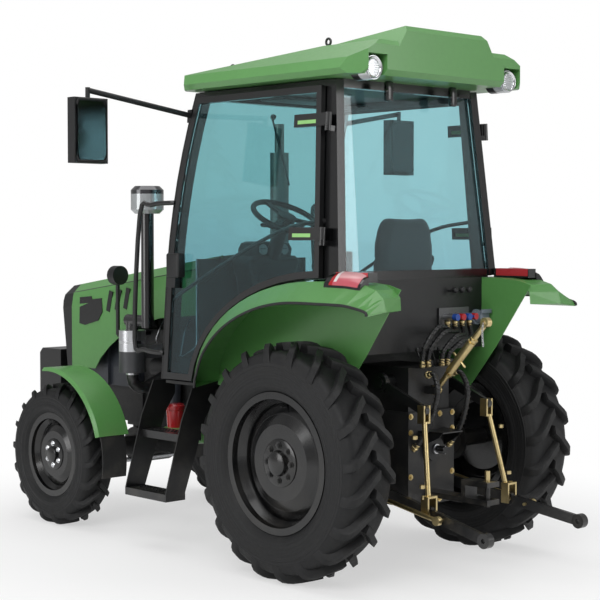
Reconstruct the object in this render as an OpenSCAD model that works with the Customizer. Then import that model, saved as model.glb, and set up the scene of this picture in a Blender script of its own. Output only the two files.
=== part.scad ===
// Farm tractor with cab, on its four wheels.
// X points forward, Y to the left, Z up from the ground; modules are drawn about the rear axle.

/* [Overall] */
// Rear axle to front axle
wheelbase = 2000; // [1960:10:2080]
// Front axle to the face of the front weight
front_overhang = 760; // [740:5:820]
// Rear axle to the ends of the lower link eyes
rear_overhang = 985; // [970:5:1040]
// Gap left around moving pieces
move_gap = 6; // [5:0.5:8]
// Clearance of pins and shafts in their bores
fit = 0.3; // [0.2:0.05:0.4]

/* [Rear wheels] */
// Radius over the lugs of a rear tyre
rear_tyre_r = 580; // [570:2:590]
// Width of a rear tyre
rear_tyre_w = 300; // [280:5:310]
// Distance between the rear wheel centres
rear_track = 1330; // [1330:5:1370]
// Radius of the rear rim flange
rear_rim_r = 345; // [335:5:355]
// Width over the rear rim flanges
rear_rim_w = 250; // [230:5:260]

/* [Front wheels] */
// Radius over the lugs of a front tyre
front_tyre_r = 407; // [400:1:412]
// Width of a front tyre
front_tyre_w = 200; // [180:5:205]
// Distance between the front wheel centres
front_track = 1280; // [1270:5:1320]
// Radius of the front rim flange
front_rim_r = 242; // [235:1:250]
// Width over the front rim flanges
front_rim_w = 160; // [140:5:170]

/* [Cab] */
// Height of the cab floor
floor_z = 905; // [900:1:910]
// Height of the door's upper edge
door_top_z = 2403; // [2380:1:2420]
// Half width over the doors at the floor
cab_half_w = 655; // [645:1:665]
// Lean of the cab sides towards the roof
cab_lean = 3.9; // [3.5:0.1:4.2]
// Door's front edge, forward of the rear axle
door_front_x = 1035; // [1020:1:1050]
// Door's rear edge at the waist, behind the rear axle
door_rear_back = 124; // [120:1:130]
// Thickness of a door
door_t = 28; // [24:1:32]
// Thickness of the glass
glass_t = 6; // [5:0.5:8]

/* [Roof] */
// Underside of the roof
roof_z = 2432; // [2432:1:2440]
// Highest point of the roof
roof_top_z = 2678; // [2660:1:2700]
// Half width of the roof
roof_half_w = 655; // [640:1:680]
// Roof's front edge, forward of the rear axle
roof_front_x = 945; // [935:1:960]
// Roof's rear edge, behind the rear axle
roof_back = 400; // [395:1:410]

/* [Hood] */
// Half width of the hood
hood_half_w = 300; // [290:1:310]
// Rear edge of the hood
hood_rear_x = 1112; // [1108:1:1120]
// Top of the hood at its rear edge
hood_rear_z = 1572; // [1560:1:1585]
// Top of the hood at the nose
hood_nose_z = 1392; // [1380:1:1400]
// Thickness of the sheet
sheet_t = 5; // [4:0.5:6]

/* [Rear fenders] */
// Inner wall of the fender, from the centre line
fender_in_y = 480; // [476:1:484]
// Outer lip of the fender, from the centre line
fender_out_y = 775; // [765:1:785]
// Highest line of the fender at the cab
fender_top_z = 1455; // [1450:1:1460]
// Highest line of the outer lip
lip_top_z = 1358; // [1350:1:1366]

/* [Hitch] */
// Half width between the lower link eyes
eye_half_w = 354; // [340:2:370]
// Height of the lower link eyes
eye_z = 287; // [270:1:300]
// Bore of the lower link eyes
eye_bore = 22.4; // [22:0.1:28.7]
// Diameter of the power take-off shaft
pto_d = 35; // [30:1:40]
// Bore of the top link eye
top_bore = 19.3; // [19:0.1:25.7]

/* [Hidden] */
$fn = 64;
hull_fn = 32;
overrun = 10;

// Middle of the whole length, which becomes the origin
mid_x = (wheelbase + front_overhang - rear_overhang) / 2;
front_x = wheelbase + front_overhang;
rear_axle_z = rear_tyre_r;
front_axle_z = front_tyre_r;

// Colours
paint = "#7ac043";
black = "#1c1d1f";
dark = "#2b2d30";
rubber = "#26272a";
zinc = "#c9a85a";
steel = "#9ea3a6";
pane = "#8fb3b5";
signal = "#c8372d";

module at_origin() {
    translate([-mid_x, 0, 0]) children();
}

module on_side(side) {
    if (side > 0) children();
    else mirror([0, 1, 0]) children();
}

module both_sides() {
    for (side = [1, -1]) on_side(side) children();
}

// Box beam between two points, w across and h high
module beam(a, b, w, h) {
    d = b - a;
    run = norm(d);
    translate(a) rotate([0, -asin(d[2] / run), atan2(d[1], d[0])])
        translate([0, -w / 2, -h / 2]) cube([run, w, h]);
}

// Round rod between two points
module rod(a, b, r) {
    d = b - a;
    run = norm(d);
    translate(a) rotate([0, acos(d[2] / run), atan2(d[1], d[0])]) cylinder(h = run, r = r);
}

// Cylinder along Y from one place to the other
module pin_y(x, z, y0, y1, r) {
    translate([x, y0, z]) rotate([-90, 0, 0]) cylinder(h = y1 - y0, r = r);
}

// Block between two opposite corners
module block(a, b) {
    translate(a) cube(b - a);
}

// Plate in the XZ plane, drawn as an outline and spread from y0 to y1
module side_plate(y0, y1) {
    translate([0, y1, 0]) rotate([90, 0, 0]) linear_extrude(y1 - y0) children();
}

function unit(v) = v / norm(v);
function tangent(p, i) = unit(p[min(i + 1, len(p) - 1)] - p[max(i - 1, 0)]);
function side_step(v, t) = unit(v - (v * t) * t);
function normal_at(p, i) = i == 0
    ? side_step(abs(tangent(p, 0)[2]) > 0.9 ? [1, 0, 0] : [0, 0, 1], tangent(p, 0))
    : side_step(normal_at(p, i - 1), tangent(p, i));

// Points of a smooth curve through a list of points
function spline_point(a, b, c, d, t) = 0.5 * ((2 * b) + (c - a) * t
    + (2 * a - 5 * b + 4 * c - d) * t * t + (3 * b - a - 3 * c + d) * t * t * t);
function smooth(p, steps) = [
    for (i = [0 : len(p) - 2]) for (k = [0 : steps - 1])
        spline_point(p[max(i - 1, 0)], p[i], p[i + 1], p[min(i + 2, len(p) - 1)], k / steps),
    p[len(p) - 1]
];

// Closed solid through rings of points that all have the same count
module loft(rings) {
    n = len(rings[0]);
    last = len(rings) - 1;
    polyhedron(
        points = [for (ring = rings) for (q = ring) q],
        faces = concat(
            [[for (k = [n - 1 : -1 : 0]) k]],
            [[for (k = [0 : n - 1]) last * n + k]],
            [for (i = [0 : last - 1]) for (k = [0 : n - 1]) let (j = (k + 1) % n)
                for (face = [[i * n + k, i * n + j, (i + 1) * n + j], [i * n + k, (i + 1) * n + j, (i + 1) * n + k]])
                    face]
        ),
        convexity = 6
    );
}

// Round tube swept along a path
module tube(path, r, sides = 10) {
    loft([for (i = [0 : len(path) - 1])
        let (t = tangent(path, i), u = normal_at(path, i), v = cross(t, u))
        [for (k = [0 : sides - 1]) path[i] + r * (cos(360 * k / sides) * u + sin(360 * k / sides) * v)]]);
}

// Tyres: a hollow carcass whose beads sit between the rim flanges
flange_h = 26;
flange_t = 7;
tyre_wall = 22;
tread_t = 30;
bead_w = 28;
bead_share = 0.12;
belly_share = 0.45;
shoulder_share = 0.86;
shoulder_w_share = 0.93;
crown_w_share = 0.70;
neck_w_share = 0.97;
function tyre_half(r, w, rim_r, rim_w) = let (
        h = r - rim_r,
        seat = rim_r - flange_h + fit,
        bead_y = rim_w / 2 - flange_t - fit
    ) [
        [seat, bead_y - bead_w],
        [seat, bead_y],
        [rim_r + fit, bead_y],
        [rim_r + bead_share * h, max(rim_w, w * neck_w_share) / 2],
        [rim_r + belly_share * h, w / 2],
        [rim_r + shoulder_share * h, w * shoulder_w_share / 2],
        [r, w * crown_w_share / 2]
    ];
function cavity_half(r, w, rim_r, rim_w) = let (
        h = r - rim_r,
        bead_y = rim_w / 2 - flange_t - fit
    ) [
        [r - tread_t - tyre_wall, w * crown_w_share / 2],
        [rim_r + shoulder_share * h - tyre_wall, w * shoulder_w_share / 2 - tyre_wall],
        [rim_r + belly_share * h, w / 2 - tyre_wall],
        [rim_r + fit + tyre_wall, bead_y - bead_w]
    ];
function mirrored(p) = [for (i = [len(p) - 1 : -1 : 0]) [p[i][0], -p[i][1]]];

module tyre_ring(r, w, rim_r, rim_w) {
    outer = tyre_half(r, w, rim_r, rim_w);
    inner = cavity_half(r, w, rim_r, rim_w);
    rotate([-90, 0, 0]) rotate_extrude()
        polygon(concat(outer, mirrored(outer), mirrored(inner), inner));
}

// Rims: flanged barrel with a dished disc that carries the hub bore
rim_wall = 8;
well_depth = 24;
well_w_share = 0.40;
well_slope_share = 0.16;
disc_edge_share = 0.10;
disc_mid_share = 0.20;
disc_face_share = 0.30;
disc_mid_r_share = 0.70;
disc_t = 12;
module rim_ring(rim_r, rim_w, face_r, bore_r) {
    seat = rim_r - flange_h;
    well = seat - well_depth;
    half = rim_w / 2;
    well_y = well_w_share * half;
    slope_y = well_y + well_slope_share * rim_w;
    rotate([-90, 0, 0]) rotate_extrude() polygon([
        [rim_r, -half],
        [rim_r, -half + flange_t],
        [seat, -half + flange_t],
        [seat, -slope_y],
        [well, -well_y],
        [well, well_y],
        [seat, slope_y],
        [seat, half - flange_t],
        [rim_r, half - flange_t],
        [rim_r, half],
        [seat - rim_wall, half],
        [seat - rim_wall, slope_y],
        [well - rim_wall, well_y],
        [well - rim_wall, disc_edge_share * rim_w + disc_t],
        [disc_mid_r_share * rim_r, disc_mid_share * rim_w + disc_t],
        [face_r, disc_face_share * rim_w + disc_t],
        [bore_r, disc_face_share * rim_w + disc_t],
        [bore_r, disc_face_share * rim_w],
        [face_r, disc_face_share * rim_w],
        [disc_mid_r_share * rim_r, disc_mid_share * rim_w],
        [well - rim_wall, disc_edge_share * rim_w],
        [well - rim_wall, -well_y],
        [seat - rim_wall, -slope_y],
        [seat - rim_wall, -half]
    ]);
}

rear_shaft_r = 45;
front_shaft_r = 34;
rear_face_share = 0.54;
front_face_share = 0.55;
rear_wheel_y = rear_track / 2;
front_wheel_y = front_track / 2;
// Outer faces of the wheel discs
rear_face_y = rear_wheel_y + disc_face_share * rear_rim_w + disc_t;
front_face_y = front_wheel_y + disc_face_share * front_rim_w + disc_t;

module rear_tyre(side) {
    color(rubber) on_side(side) translate([0, rear_wheel_y, rear_axle_z])
        tyre_ring(rear_tyre_r, rear_tyre_w, rear_rim_r, rear_rim_w);
}

module front_tyre(side) {
    color(rubber) on_side(side) translate([wheelbase, front_wheel_y, front_axle_z])
        tyre_ring(front_tyre_r, front_tyre_w, front_rim_r, front_rim_w);
}

module rear_rim(side) {
    color(black) on_side(side) translate([0, rear_wheel_y, rear_axle_z])
        rim_ring(rear_rim_r, rear_rim_w, rear_face_share * rear_rim_r, rear_shaft_r + fit);
}

module front_rim(side) {
    color(black) on_side(side) translate([wheelbase, front_wheel_y, front_axle_z])
        rim_ring(front_rim_r, front_rim_w, front_face_share * front_rim_r, front_shaft_r + fit);
}

// Spine: engine, gearbox and rear housing bolted face to face
engine_front_x = 1840;
engine_rear_x = 1190;
engine_half_w = 165;
engine_top_z = 1120;
engine_low_z = 470;
pan_half_w = 140;
pan_low_z = 400;
pan_rear_share = 0.18;
head_half_w = 120;
head_top_z = 1215;
head_front_share = 0.12;
module engine() {
    span = engine_front_x - engine_rear_x;
    color(dark) union() {
        block([engine_rear_x, -engine_half_w, engine_low_z], [engine_front_x, engine_half_w, engine_top_z]);
        block([engine_rear_x + pan_rear_share * span, -pan_half_w, pan_low_z],
            [engine_front_x, pan_half_w, engine_low_z]);
        block([engine_rear_x + head_front_share * span, -head_half_w, engine_top_z],
            [engine_front_x - head_front_share * span, head_half_w, head_top_z]);
    }
}

gearbox_rear_x = 250;
gearbox_half_w = 160;
gearbox_low_z = 440;
gearbox_top_z = 790;
bell_r = 225;
bell_len = 110;
bell_z = 640;
module gearbox() {
    color(black) union() {
        block([gearbox_rear_x, -gearbox_half_w, gearbox_low_z], [engine_rear_x, gearbox_half_w, gearbox_top_z]);
        translate([engine_rear_x - bell_len, 0, bell_z]) rotate([0, 90, 0]) cylinder(h = bell_len, r = bell_r);
    }
}

// Rear housing with axle trumpets, link pins and the power take-off
housing_back = 300;
housing_half_w = 170;
housing_low_z = 330;
housing_top_z = 800;
brake_r = 132;
brake_y = 265;
trumpet_r = 92;
trumpet_end_r = 72;
trumpet_end_y = 500;
axle_flange_r = 105;
axle_flange_t = 14;
hub_cap_t = 22;
link_pivot_back = 110;
link_pivot_z = 430;
link_pin_r = 14;
link_front_y = 235;
link_eye_w = 34;
link_eye_r = 30;
pin_head = 8;
stab_front_y = 345;
stab_eye_w = 24;
stab_eye_r = 22;
stab_pin_r = 11;
stab_plate_t = 16;
stab_plate_w = 52;
pto_z = 610;
pto_len = 95;
pto_boss_r = 62;
pto_boss_len = 28;
module rear_axle() {
    pivot_x = -link_pivot_back;
    stab_in = stab_front_y + stab_eye_w / 2 + fit;
    color(black) union() {
        block([-housing_back, -housing_half_w, housing_low_z], [gearbox_rear_x, housing_half_w, housing_top_z]);
        both_sides() {
            pin_y(0, rear_axle_z, 0, brake_y, brake_r);
            translate([0, brake_y, rear_axle_z]) rotate([-90, 0, 0])
                cylinder(h = trumpet_end_y - brake_y, r1 = trumpet_r, r2 = trumpet_end_r);
            pin_y(0, rear_axle_z, trumpet_end_y - axle_flange_t, trumpet_end_y, axle_flange_r);
            pin_y(0, rear_axle_z, 0, rear_face_y + hub_cap_t, rear_shaft_r);
            pin_y(pivot_x, link_pivot_z, 0, link_front_y + link_eye_w / 2 + pin_head, link_pin_r);
            pin_y(pivot_x, link_pivot_z, stab_front_y - stab_eye_w / 2 - pin_head, stab_in + stab_plate_t, stab_pin_r);
            side_plate(stab_in, stab_in + stab_plate_t) polygon([
                [pivot_x - stab_plate_w / 2, link_pivot_z - stab_plate_w / 2],
                [pivot_x + stab_plate_w / 2, link_pivot_z - stab_plate_w / 2],
                [0, rear_axle_z],
                [-stab_plate_w, rear_axle_z]
            ]);
        }
        translate([-housing_back - pto_boss_len, 0, pto_z]) rotate([0, 90, 0])
            cylinder(h = pto_boss_len + overrun, r = pto_boss_r);
        translate([-housing_back - pto_len, 0, pto_z]) rotate([0, 90, 0])
            cylinder(h = pto_len + overrun, r = pto_d / 2);
    }
}

// Front frame between the engine and the front weight, over the axle
frame_half_w = 180;
frame_low_z = 560;
frame_top_z = 770;
saddle_half_len = 110;
saddle_half_w = 90;
saddle_z = 520;
weight_len = 230;
module front_frame() {
    color(black) union() {
        block([engine_front_x, -frame_half_w, frame_low_z], [front_x - weight_len, frame_half_w, frame_top_z]);
        block([wheelbase - saddle_half_len, -saddle_half_w, saddle_z],
            [wheelbase + saddle_half_len, saddle_half_w, frame_low_z + overrun]);
    }
}

weight_half_w = 290;
weight_low_z = 640;
weight_top_z = 965;
weight_chamfer = 30;
weight_plates = 6;
weight_groove = 6;
module front_weight() {
    rear = front_x - weight_len;
    pitch = 2 * weight_half_w / weight_plates;
    color(black) difference() {
        side_plate(-weight_half_w, weight_half_w) polygon([
            [rear, weight_low_z],
            [front_x - weight_chamfer, weight_low_z],
            [front_x, weight_low_z + weight_chamfer],
            [front_x, weight_top_z - weight_chamfer],
            [front_x - weight_chamfer, weight_top_z],
            [rear, weight_top_z]
        ]);
        for (i = [1 : weight_plates - 1])
            block([front_x - weight_chamfer, -weight_half_w + i * pitch - weight_groove / 2, weight_low_z - overrun],
                [front_x + overrun, -weight_half_w + i * pitch + weight_groove / 2, weight_top_z + overrun]);
    }
}

radiator_rear_x = 2110;
radiator_front_x = 2290;
radiator_half_w = 235;
radiator_top_z = 1265;
shroud_half_w = 215;
shroud_rear_x = 1870;
shroud_top_z = 1130;
module radiator() {
    color(dark) union() {
        block([radiator_rear_x, -radiator_half_w, frame_top_z], [radiator_front_x, radiator_half_w, radiator_top_z]);
        block([shroud_rear_x, -shroud_half_w, frame_top_z], [radiator_rear_x, shroud_half_w, shroud_top_z]);
    }
}

// Front axle: beam, differential and kingpin bosses
king_y = 490;
king_r = 24;
boss_r = 46;
boss_half_h = 78;
axle_beam_r = 56;
diff_r = 108;
diff_half_w = 120;
king_pin_h = 34;
module front_axle() {
    color(black) translate([wheelbase, 0, front_axle_z]) union() {
        rotate([90, 0, 0]) translate([0, 0, -king_y]) cylinder(h = 2 * king_y, r = axle_beam_r);
        rotate([90, 0, 0]) translate([0, 0, -diff_half_w]) cylinder(h = 2 * diff_half_w, r = diff_r);
        block([-saddle_half_len / 2, -saddle_half_w, 0], [saddle_half_len / 2, saddle_half_w, saddle_z - front_axle_z]);
        both_sides() {
            translate([0, king_y, -boss_half_h]) cylinder(h = 2 * boss_half_h, r = boss_r);
            translate([0, king_y, -boss_half_h - king_pin_h]) cylinder(h = 2 * (boss_half_h + king_pin_h), r = king_r);
        }
    }
}

// Knuckle: fork on the kingpin, wheel spindle, steering arm and fender post
fork_t = 26;
fork_half_len = 46;
fork_wall_in = 548;
fork_wall_t = 30;
fork_in_y = 452;
arm_len = 150;
arm_w = 44;
stud_r = 9;
stud_h = 44;
spindle_r = front_shaft_r;
post_y = 508;
post_t = 12;
post_half_w = 22;
fender_gap = 93;
front_fender_r = front_tyre_r + fender_gap;
front_fender_in_y = 525;
front_fender_out_y = 740;
module knuckle(side) {
    top_z = boss_half_h + fit;
    post_top = sqrt(pow(front_fender_r, 2) - pow(post_half_w, 2)) - fit;
    color(black) on_side(side) translate([wheelbase, 0, front_axle_z]) difference() {
        union() {
            for (level = [top_z, -top_z - fork_t])
                block([-fork_half_len, fork_in_y, level], [fork_half_len, fork_wall_in + fork_wall_t, level + fork_t]);
            block([-fork_half_len, fork_wall_in, -top_z - fork_t],
                [fork_half_len, fork_wall_in + fork_wall_t, top_z + fork_t]);
            pin_y(0, 0, fork_wall_in, front_face_y + hub_cap_t / 2, spindle_r);
            block([-arm_len - arm_w / 2, king_y - arm_w / 2, -top_z - fork_t], [0, king_y + arm_w / 2, -top_z]);
            translate([-arm_len, king_y, -top_z - overrun]) cylinder(h = stud_h + overrun, r = stud_r);
            block([-post_half_w, post_y, top_z], [post_half_w, post_y + post_t, post_top]);
            block([-post_half_w, post_y, post_top - post_t],
                [post_half_w, front_fender_out_y - fender_edge - 2 * post_t, post_top]);
        }
        translate([0, king_y, -boss_half_h - king_pin_h - fork_t - overrun])
            cylinder(h = 2 * (boss_half_h + king_pin_h + fork_t + overrun), r = king_r + fit);
    }
}

// Front fender: channel-shaped arc over the tyre, and the flap that hangs from its end
fender_front_angle = 83;
fender_end_angle = 163;
fender_lip = 16;
fender_edge = 14;
module front_fender(side) {
    r = front_fender_r;
    t = sheet_t;
    y0 = front_fender_in_y;
    y1 = front_fender_out_y;
    color(paint) on_side(side) translate([wheelbase, 0, front_axle_z]) rotate([90, 0, 0])
        rotate([0, 0, fender_front_angle]) rotate_extrude(angle = fender_end_angle - fender_front_angle)
            polygon([
                [r, -y0],
                [r, -y1 + fender_edge + t],
                [r - fender_edge, -y1 + t],
                [r - fender_lip, -y1 + t],
                [r - fender_lip, -y1],
                [r - fender_edge + t, -y1],
                [r + t, -y1 + fender_edge],
                [r + t, -y0]
            ]);
}

flap_t = 7;
flap_start_angle = 153;
flap_end_angle = 190;
module mud_flap(side) {
    r = front_fender_r - fit;
    inset = sheet_t + fender_edge + flap_t;
    color(rubber) on_side(side) translate([wheelbase, 0, front_axle_z]) rotate([90, 0, 0])
        rotate([0, 0, flap_start_angle]) rotate_extrude(angle = flap_end_angle - flap_start_angle)
            polygon([
                [r - flap_t, -front_fender_in_y - inset],
                [r - flap_t, -front_fender_out_y + inset],
                [r, -front_fender_out_y + inset],
                [r, -front_fender_in_y - inset]
            ]);
}

tie_r = 14;
tie_eye_r = 22;
tie_eye_h = 40;
module tie_rod() {
    x = wheelbase - arm_len;
    z = front_axle_z - boss_half_h - fit;
    color(steel) difference() {
        union() {
            pin_y(x, z + fit + tie_eye_h / 2, -king_y, king_y, tie_r);
            both_sides() translate([x, king_y, z + fit]) cylinder(h = tie_eye_h, r = tie_eye_r);
        }
        both_sides() translate([x, king_y, z - overrun]) cylinder(h = tie_eye_h + 2 * overrun, r = stud_r + fit);
    }
}

// Cab: side frames, doors and glass share one side outline, drawn along the leaning side
pillar_w = 60;
pillar_t = 52;
rail_h = 30;
door_lap = 22;
door_low_z = 912;
arc_z = 1400;
arc_r = 3130;
door_rear_top_back = 79;
rear_glass_top_back = 143;
rear_glass_back = 227;
waist_z = 1500;
fender_cx = -142;
fender_cz = 880;
fender_a = 924;
lip_a = 765;
fender_b = fender_top_z - fender_cz;
lip_b = lip_top_z - fender_cz;
seal_gap = 18;
outline_steps = 10;

// Front edge of the door at height z, moved forward by d
function front_edge(z, d) = [
    door_front_x + d - (z > arc_z ? arc_r - sqrt(arc_r * arc_r - pow(z - arc_z, 2)) : 0), z - floor_z
];
// Point of the cab-side fender curve, moved outwards by d
function fender_point(angle, d) = [
    fender_cx + (fender_a + d) * cos(angle), fender_cz + (fender_b + d) * sin(angle) - floor_z
];
// Angle at which the curve moved out by d passes height z
function fender_angle(z, d) = asin((z - fender_cz) / (fender_b + d));
// Rear edge of the door at height z, moved back by d
function rear_edge(z, d) = [
    -door_rear_back - d + (door_rear_back - door_rear_top_back) * (z - waist_z) / (door_top_z - waist_z), z - floor_z
];
// Door outline drawn in by d from its own edge
function door_outline(d) = let (
        a0 = fender_angle(door_low_z + d, seal_gap + d),
        rear_x = rear_edge(waist_z, -d)[0],
        a1 = acos((rear_x - fender_cx) / (fender_a + seal_gap + d))
    ) concat(
        [for (i = [0 : outline_steps])
            front_edge(door_low_z + d + (door_top_z - door_low_z - 2 * d) * i / outline_steps, -d)],
        [rear_edge(door_top_z - d, -d)],
        [for (i = [outline_steps : -1 : 0]) fender_point(a0 + (a1 - a0) * i / outline_steps, seal_gap + d)]
    );

module side_plane(depth) {
    translate([0, cab_half_w, floor_z]) rotate([90 + cab_lean, 0, 0]) translate([0, 0, depth]) children();
}

frame_depth = door_t + move_gap;
side_top = door_top_z + rail_h - floor_z;
// Drop of the leaning side frame between its outer and inner faces
frame_drop = (frame_depth + pillar_t) * sin(cab_lean);
frame_seal = 4;
frame_rise = frame_drop + fender_b * (1 - cos(cab_lean)) + frame_seal;
function cab_y(z) = cab_half_w - (z - floor_z) * tan(cab_lean);

// Outline of the side frame: front pillar, roof rail, rear pillar and the curve over the fender
function frame_outline() = let (
        a0 = fender_angle(floor_z, frame_seal),
        rear_low = fender_cz + fender_b + frame_seal
    ) concat(
        [for (i = [0 : outline_steps])
            let (z = floor_z + (door_top_z + rail_h - floor_z) * i / outline_steps) front_edge(z, pillar_w)],
        [[-rear_glass_top_back, side_top], [-rear_glass_back, rear_low + frame_rise - floor_z]],
        [for (i = [outline_steps : -1 : 0])
            fender_point(a0 + (90 - a0) * i / outline_steps, frame_seal) + [0, frame_rise]]
    );

cross_t = 40;
cross_h = 44;
hinge_pin_r = 8;
hinge_out = 14;
hinge_back = 26;
hinge_x = -door_rear_back - hinge_back;
hinge_ear_h = 26;
hinge_ear_r = 15;
hinge_up_z = 2204;
hinge_low_z = 1653;
hood_pin_r = 10;
hood_pin_x = 1088;
hood_pin_z = 1548;
hood_pin_y = 200;
hood_ear_t = 12;
firewall_x = 1040;
firewall_t = 20;
bracket_h = 60;
bracket_r = 12;
module side_frame() {
    side_plane(frame_depth) linear_extrude(pillar_t) difference() {
        polygon(frame_outline());
        polygon(door_outline(door_lap));
    }
}

// Hinge knuckle on the leaning side: all knuckles stand on one hinge line, out from the door face
module hinge_cyl(z, lift, h, r) {
    side_plane(-hinge_out) translate([hinge_x, z - floor_z + lift, 0])
        rotate([-90, 0, 0]) cylinder(h = h, r = r);
}

// Square bar across the cab between the side frames
module cross_bar(x, z, h) {
    y = cab_y(z + h / 2) - (frame_depth + pillar_t) / cos(cab_lean);
    block([x, -y, z], [x + cross_t, y, z + h]);
}

top_front_x = front_edge(door_top_z, 0)[0];
module cab_frame() {
    color(black) difference() {
        union() {
            both_sides() {
                side_frame();
                for (z = [hinge_up_z, hinge_low_z]) {
                    hinge_cyl(z, -hinge_ear_h - fit, hinge_ear_h, hinge_ear_r);
                    hinge_cyl(z, -hinge_ear_h, 2 * hinge_ear_h, hinge_pin_r);
                    side_plane(-hinge_out)
                        translate([hinge_x - hinge_ear_r / 2, z - floor_z - hinge_ear_h - fit, 0])
                        cube([hinge_ear_r, hinge_ear_h, frame_depth + hinge_out + overrun]);
                }
            }
            cross_bar(top_front_x, door_top_z - cross_h + rail_h, cross_h);
            cross_bar(-rear_glass_top_back, door_top_z - cross_h + rail_h, cross_h);
            cross_bar(-rear_glass_back + overrun, waist_z - cross_h, cross_h);
        }
        block([-rear_overhang, -cab_half_w, roof_z], [wheelbase, cab_half_w, roof_top_z]);
    }
}

// Floor with the seat riser, rear wall and firewall
floor_t = 22;
riser_x = 80;
shelf_z = 1110;
wall_t = 18;
floor_front_half_w = 560;
sill_half_w = 615;
cab_mount_rear_x = 330;
cab_mount_front_x = 960;
cab_mount_y = 118;
cab_mount_r = 36;
floor_rear_half_w = fender_in_y - fit;
firewall_half_w = 400;
firewall_top_z = 1545;
fender_front_x = 790;
module cab_floor() {
    low = floor_z - floor_t;
    rear_x = -rear_glass_back + overrun;
    color(black) union() {
        block([riser_x, -floor_rear_half_w, low], [firewall_x, floor_rear_half_w, floor_z]);
        block([fender_front_x + overrun, -floor_front_half_w, low],
            [firewall_x + firewall_t, floor_front_half_w, floor_z - fit]);
        block([fender_front_x + overrun, -sill_half_w, low],
            [firewall_x + firewall_t, sill_half_w, floor_z - frame_drop - fit]);
        both_sides() for (x = [cab_mount_rear_x, cab_mount_front_x])
            translate([x, cab_mount_y, gearbox_top_z + fit]) cylinder(h = floor_z - gearbox_top_z - floor_t, r = cab_mount_r);
        block([riser_x, -floor_rear_half_w, low], [riser_x + wall_t, floor_rear_half_w, shelf_z]);
        block([rear_x, -floor_rear_half_w, shelf_z - wall_t], [riser_x + wall_t, floor_rear_half_w, shelf_z]);
        block([rear_x, -floor_rear_half_w, shelf_z - wall_t], [rear_x + wall_t, floor_rear_half_w, waist_z - cross_h]);
        block([firewall_x, -firewall_half_w, low], [firewall_x + firewall_t, firewall_half_w, firewall_top_z]);
        both_sides() {
            side_plate(hood_pin_y - hood_ear_t, hood_pin_y) polygon([
                [firewall_x, hood_pin_z - bracket_h],
                [hood_pin_x + bracket_r, hood_pin_z],
                [hood_pin_x, hood_pin_z + bracket_r],
                [hood_pin_x - bracket_r, hood_pin_z + bracket_r],
                [firewall_x + firewall_t, firewall_top_z - bracket_r],
                [firewall_x, firewall_top_z - bracket_r]
            ]);
            pin_y(hood_pin_x, hood_pin_z, hood_pin_y - hood_ear_t, hood_pin_y, bracket_r);
            pin_y(hood_pin_x, hood_pin_z, hood_pin_y - hood_ear_t, hood_pin_y + hood_ear_t, hood_pin_r);
        }
    }
}

// Roof: wide base that thins towards the front, with a raised spine
roof_front_z = 2508;
roof_side_z = 2600;
roof_edge = 26;
roof_corner = 95;
spine_half_w = 280;
spine_foot = 110;
spine_front_z = 2545;
spine_front_x = 760;
lamp_y = 494;
lamp_z = 2465;
lamp_r = 57;
lamp_back = 336;
lamp_depth = 70;
module roof_base() {
    intersection() {
        translate([0, 0, roof_z]) linear_extrude(roof_side_z - roof_z) polygon([
            [-roof_back, roof_half_w - roof_corner],
            [-roof_back + roof_corner, roof_half_w],
            [roof_front_x - roof_corner, roof_half_w],
            [roof_front_x, roof_half_w - roof_corner],
            [roof_front_x, -roof_half_w + roof_corner],
            [roof_front_x - roof_corner, -roof_half_w],
            [-roof_back + roof_corner, -roof_half_w],
            [-roof_back, -roof_half_w + roof_corner]
        ]);
        side_plate(-roof_half_w, roof_half_w) polygon([
            [-roof_back + roof_edge, roof_z],
            [roof_front_x - roof_edge, roof_z],
            [roof_front_x, roof_z + roof_edge],
            [roof_front_x, roof_front_z - roof_edge],
            [roof_front_x - roof_edge, roof_front_z],
            [0, roof_side_z],
            [-roof_back + roof_edge, roof_side_z],
            [-roof_back, roof_side_z - roof_edge],
            [-roof_back, roof_z + roof_edge]
        ]);
        rotate([90, 0, 90]) translate([0, 0, -roof_back]) linear_extrude(roof_front_x + roof_back) polygon([
            [-roof_half_w + roof_edge, roof_z],
            [roof_half_w - roof_edge, roof_z],
            [roof_half_w, roof_z + roof_edge],
            [roof_half_w - roof_edge, roof_front_z],
            [roof_half_w - 2 * roof_corner, roof_side_z],
            [-roof_half_w + 2 * roof_corner, roof_side_z],
            [-roof_half_w + roof_edge, roof_front_z],
            [-roof_half_w, roof_z + roof_edge]
        ]);
    }
}

module roof_spine() {
    intersection() {
        rotate([90, 0, 90]) translate([0, 0, -roof_back]) linear_extrude(spine_front_x + roof_back) polygon([
            [-spine_half_w - spine_foot, roof_front_z],
            [spine_half_w + spine_foot, roof_front_z],
            [spine_half_w, roof_top_z],
            [-spine_half_w, roof_top_z]
        ]);
        side_plate(-roof_half_w, roof_half_w) polygon([
            [-roof_back, roof_front_z],
            [spine_front_x, roof_front_z],
            [spine_front_x, spine_front_z],
            [-roof_back + roof_edge, roof_top_z],
            [-roof_back, roof_top_z - roof_edge]
        ]);
    }
}

module roof() {
    color(paint) difference() {
        union() {
            roof_base();
            roof_spine();
        }
        both_sides() block([-roof_back - overrun, lamp_y - lamp_r - move_gap, roof_z - overrun],
            [-lamp_back + lamp_depth, lamp_y + lamp_r + move_gap, lamp_z + lamp_r + move_gap]);
    }
}

module work_lamps() {
    color(steel) both_sides() translate([-lamp_back - lamp_depth / 2, lamp_y, lamp_z]) rotate([0, 90, 0])
        cylinder(h = lamp_depth * 3 / 2, r = lamp_r);
}

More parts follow.
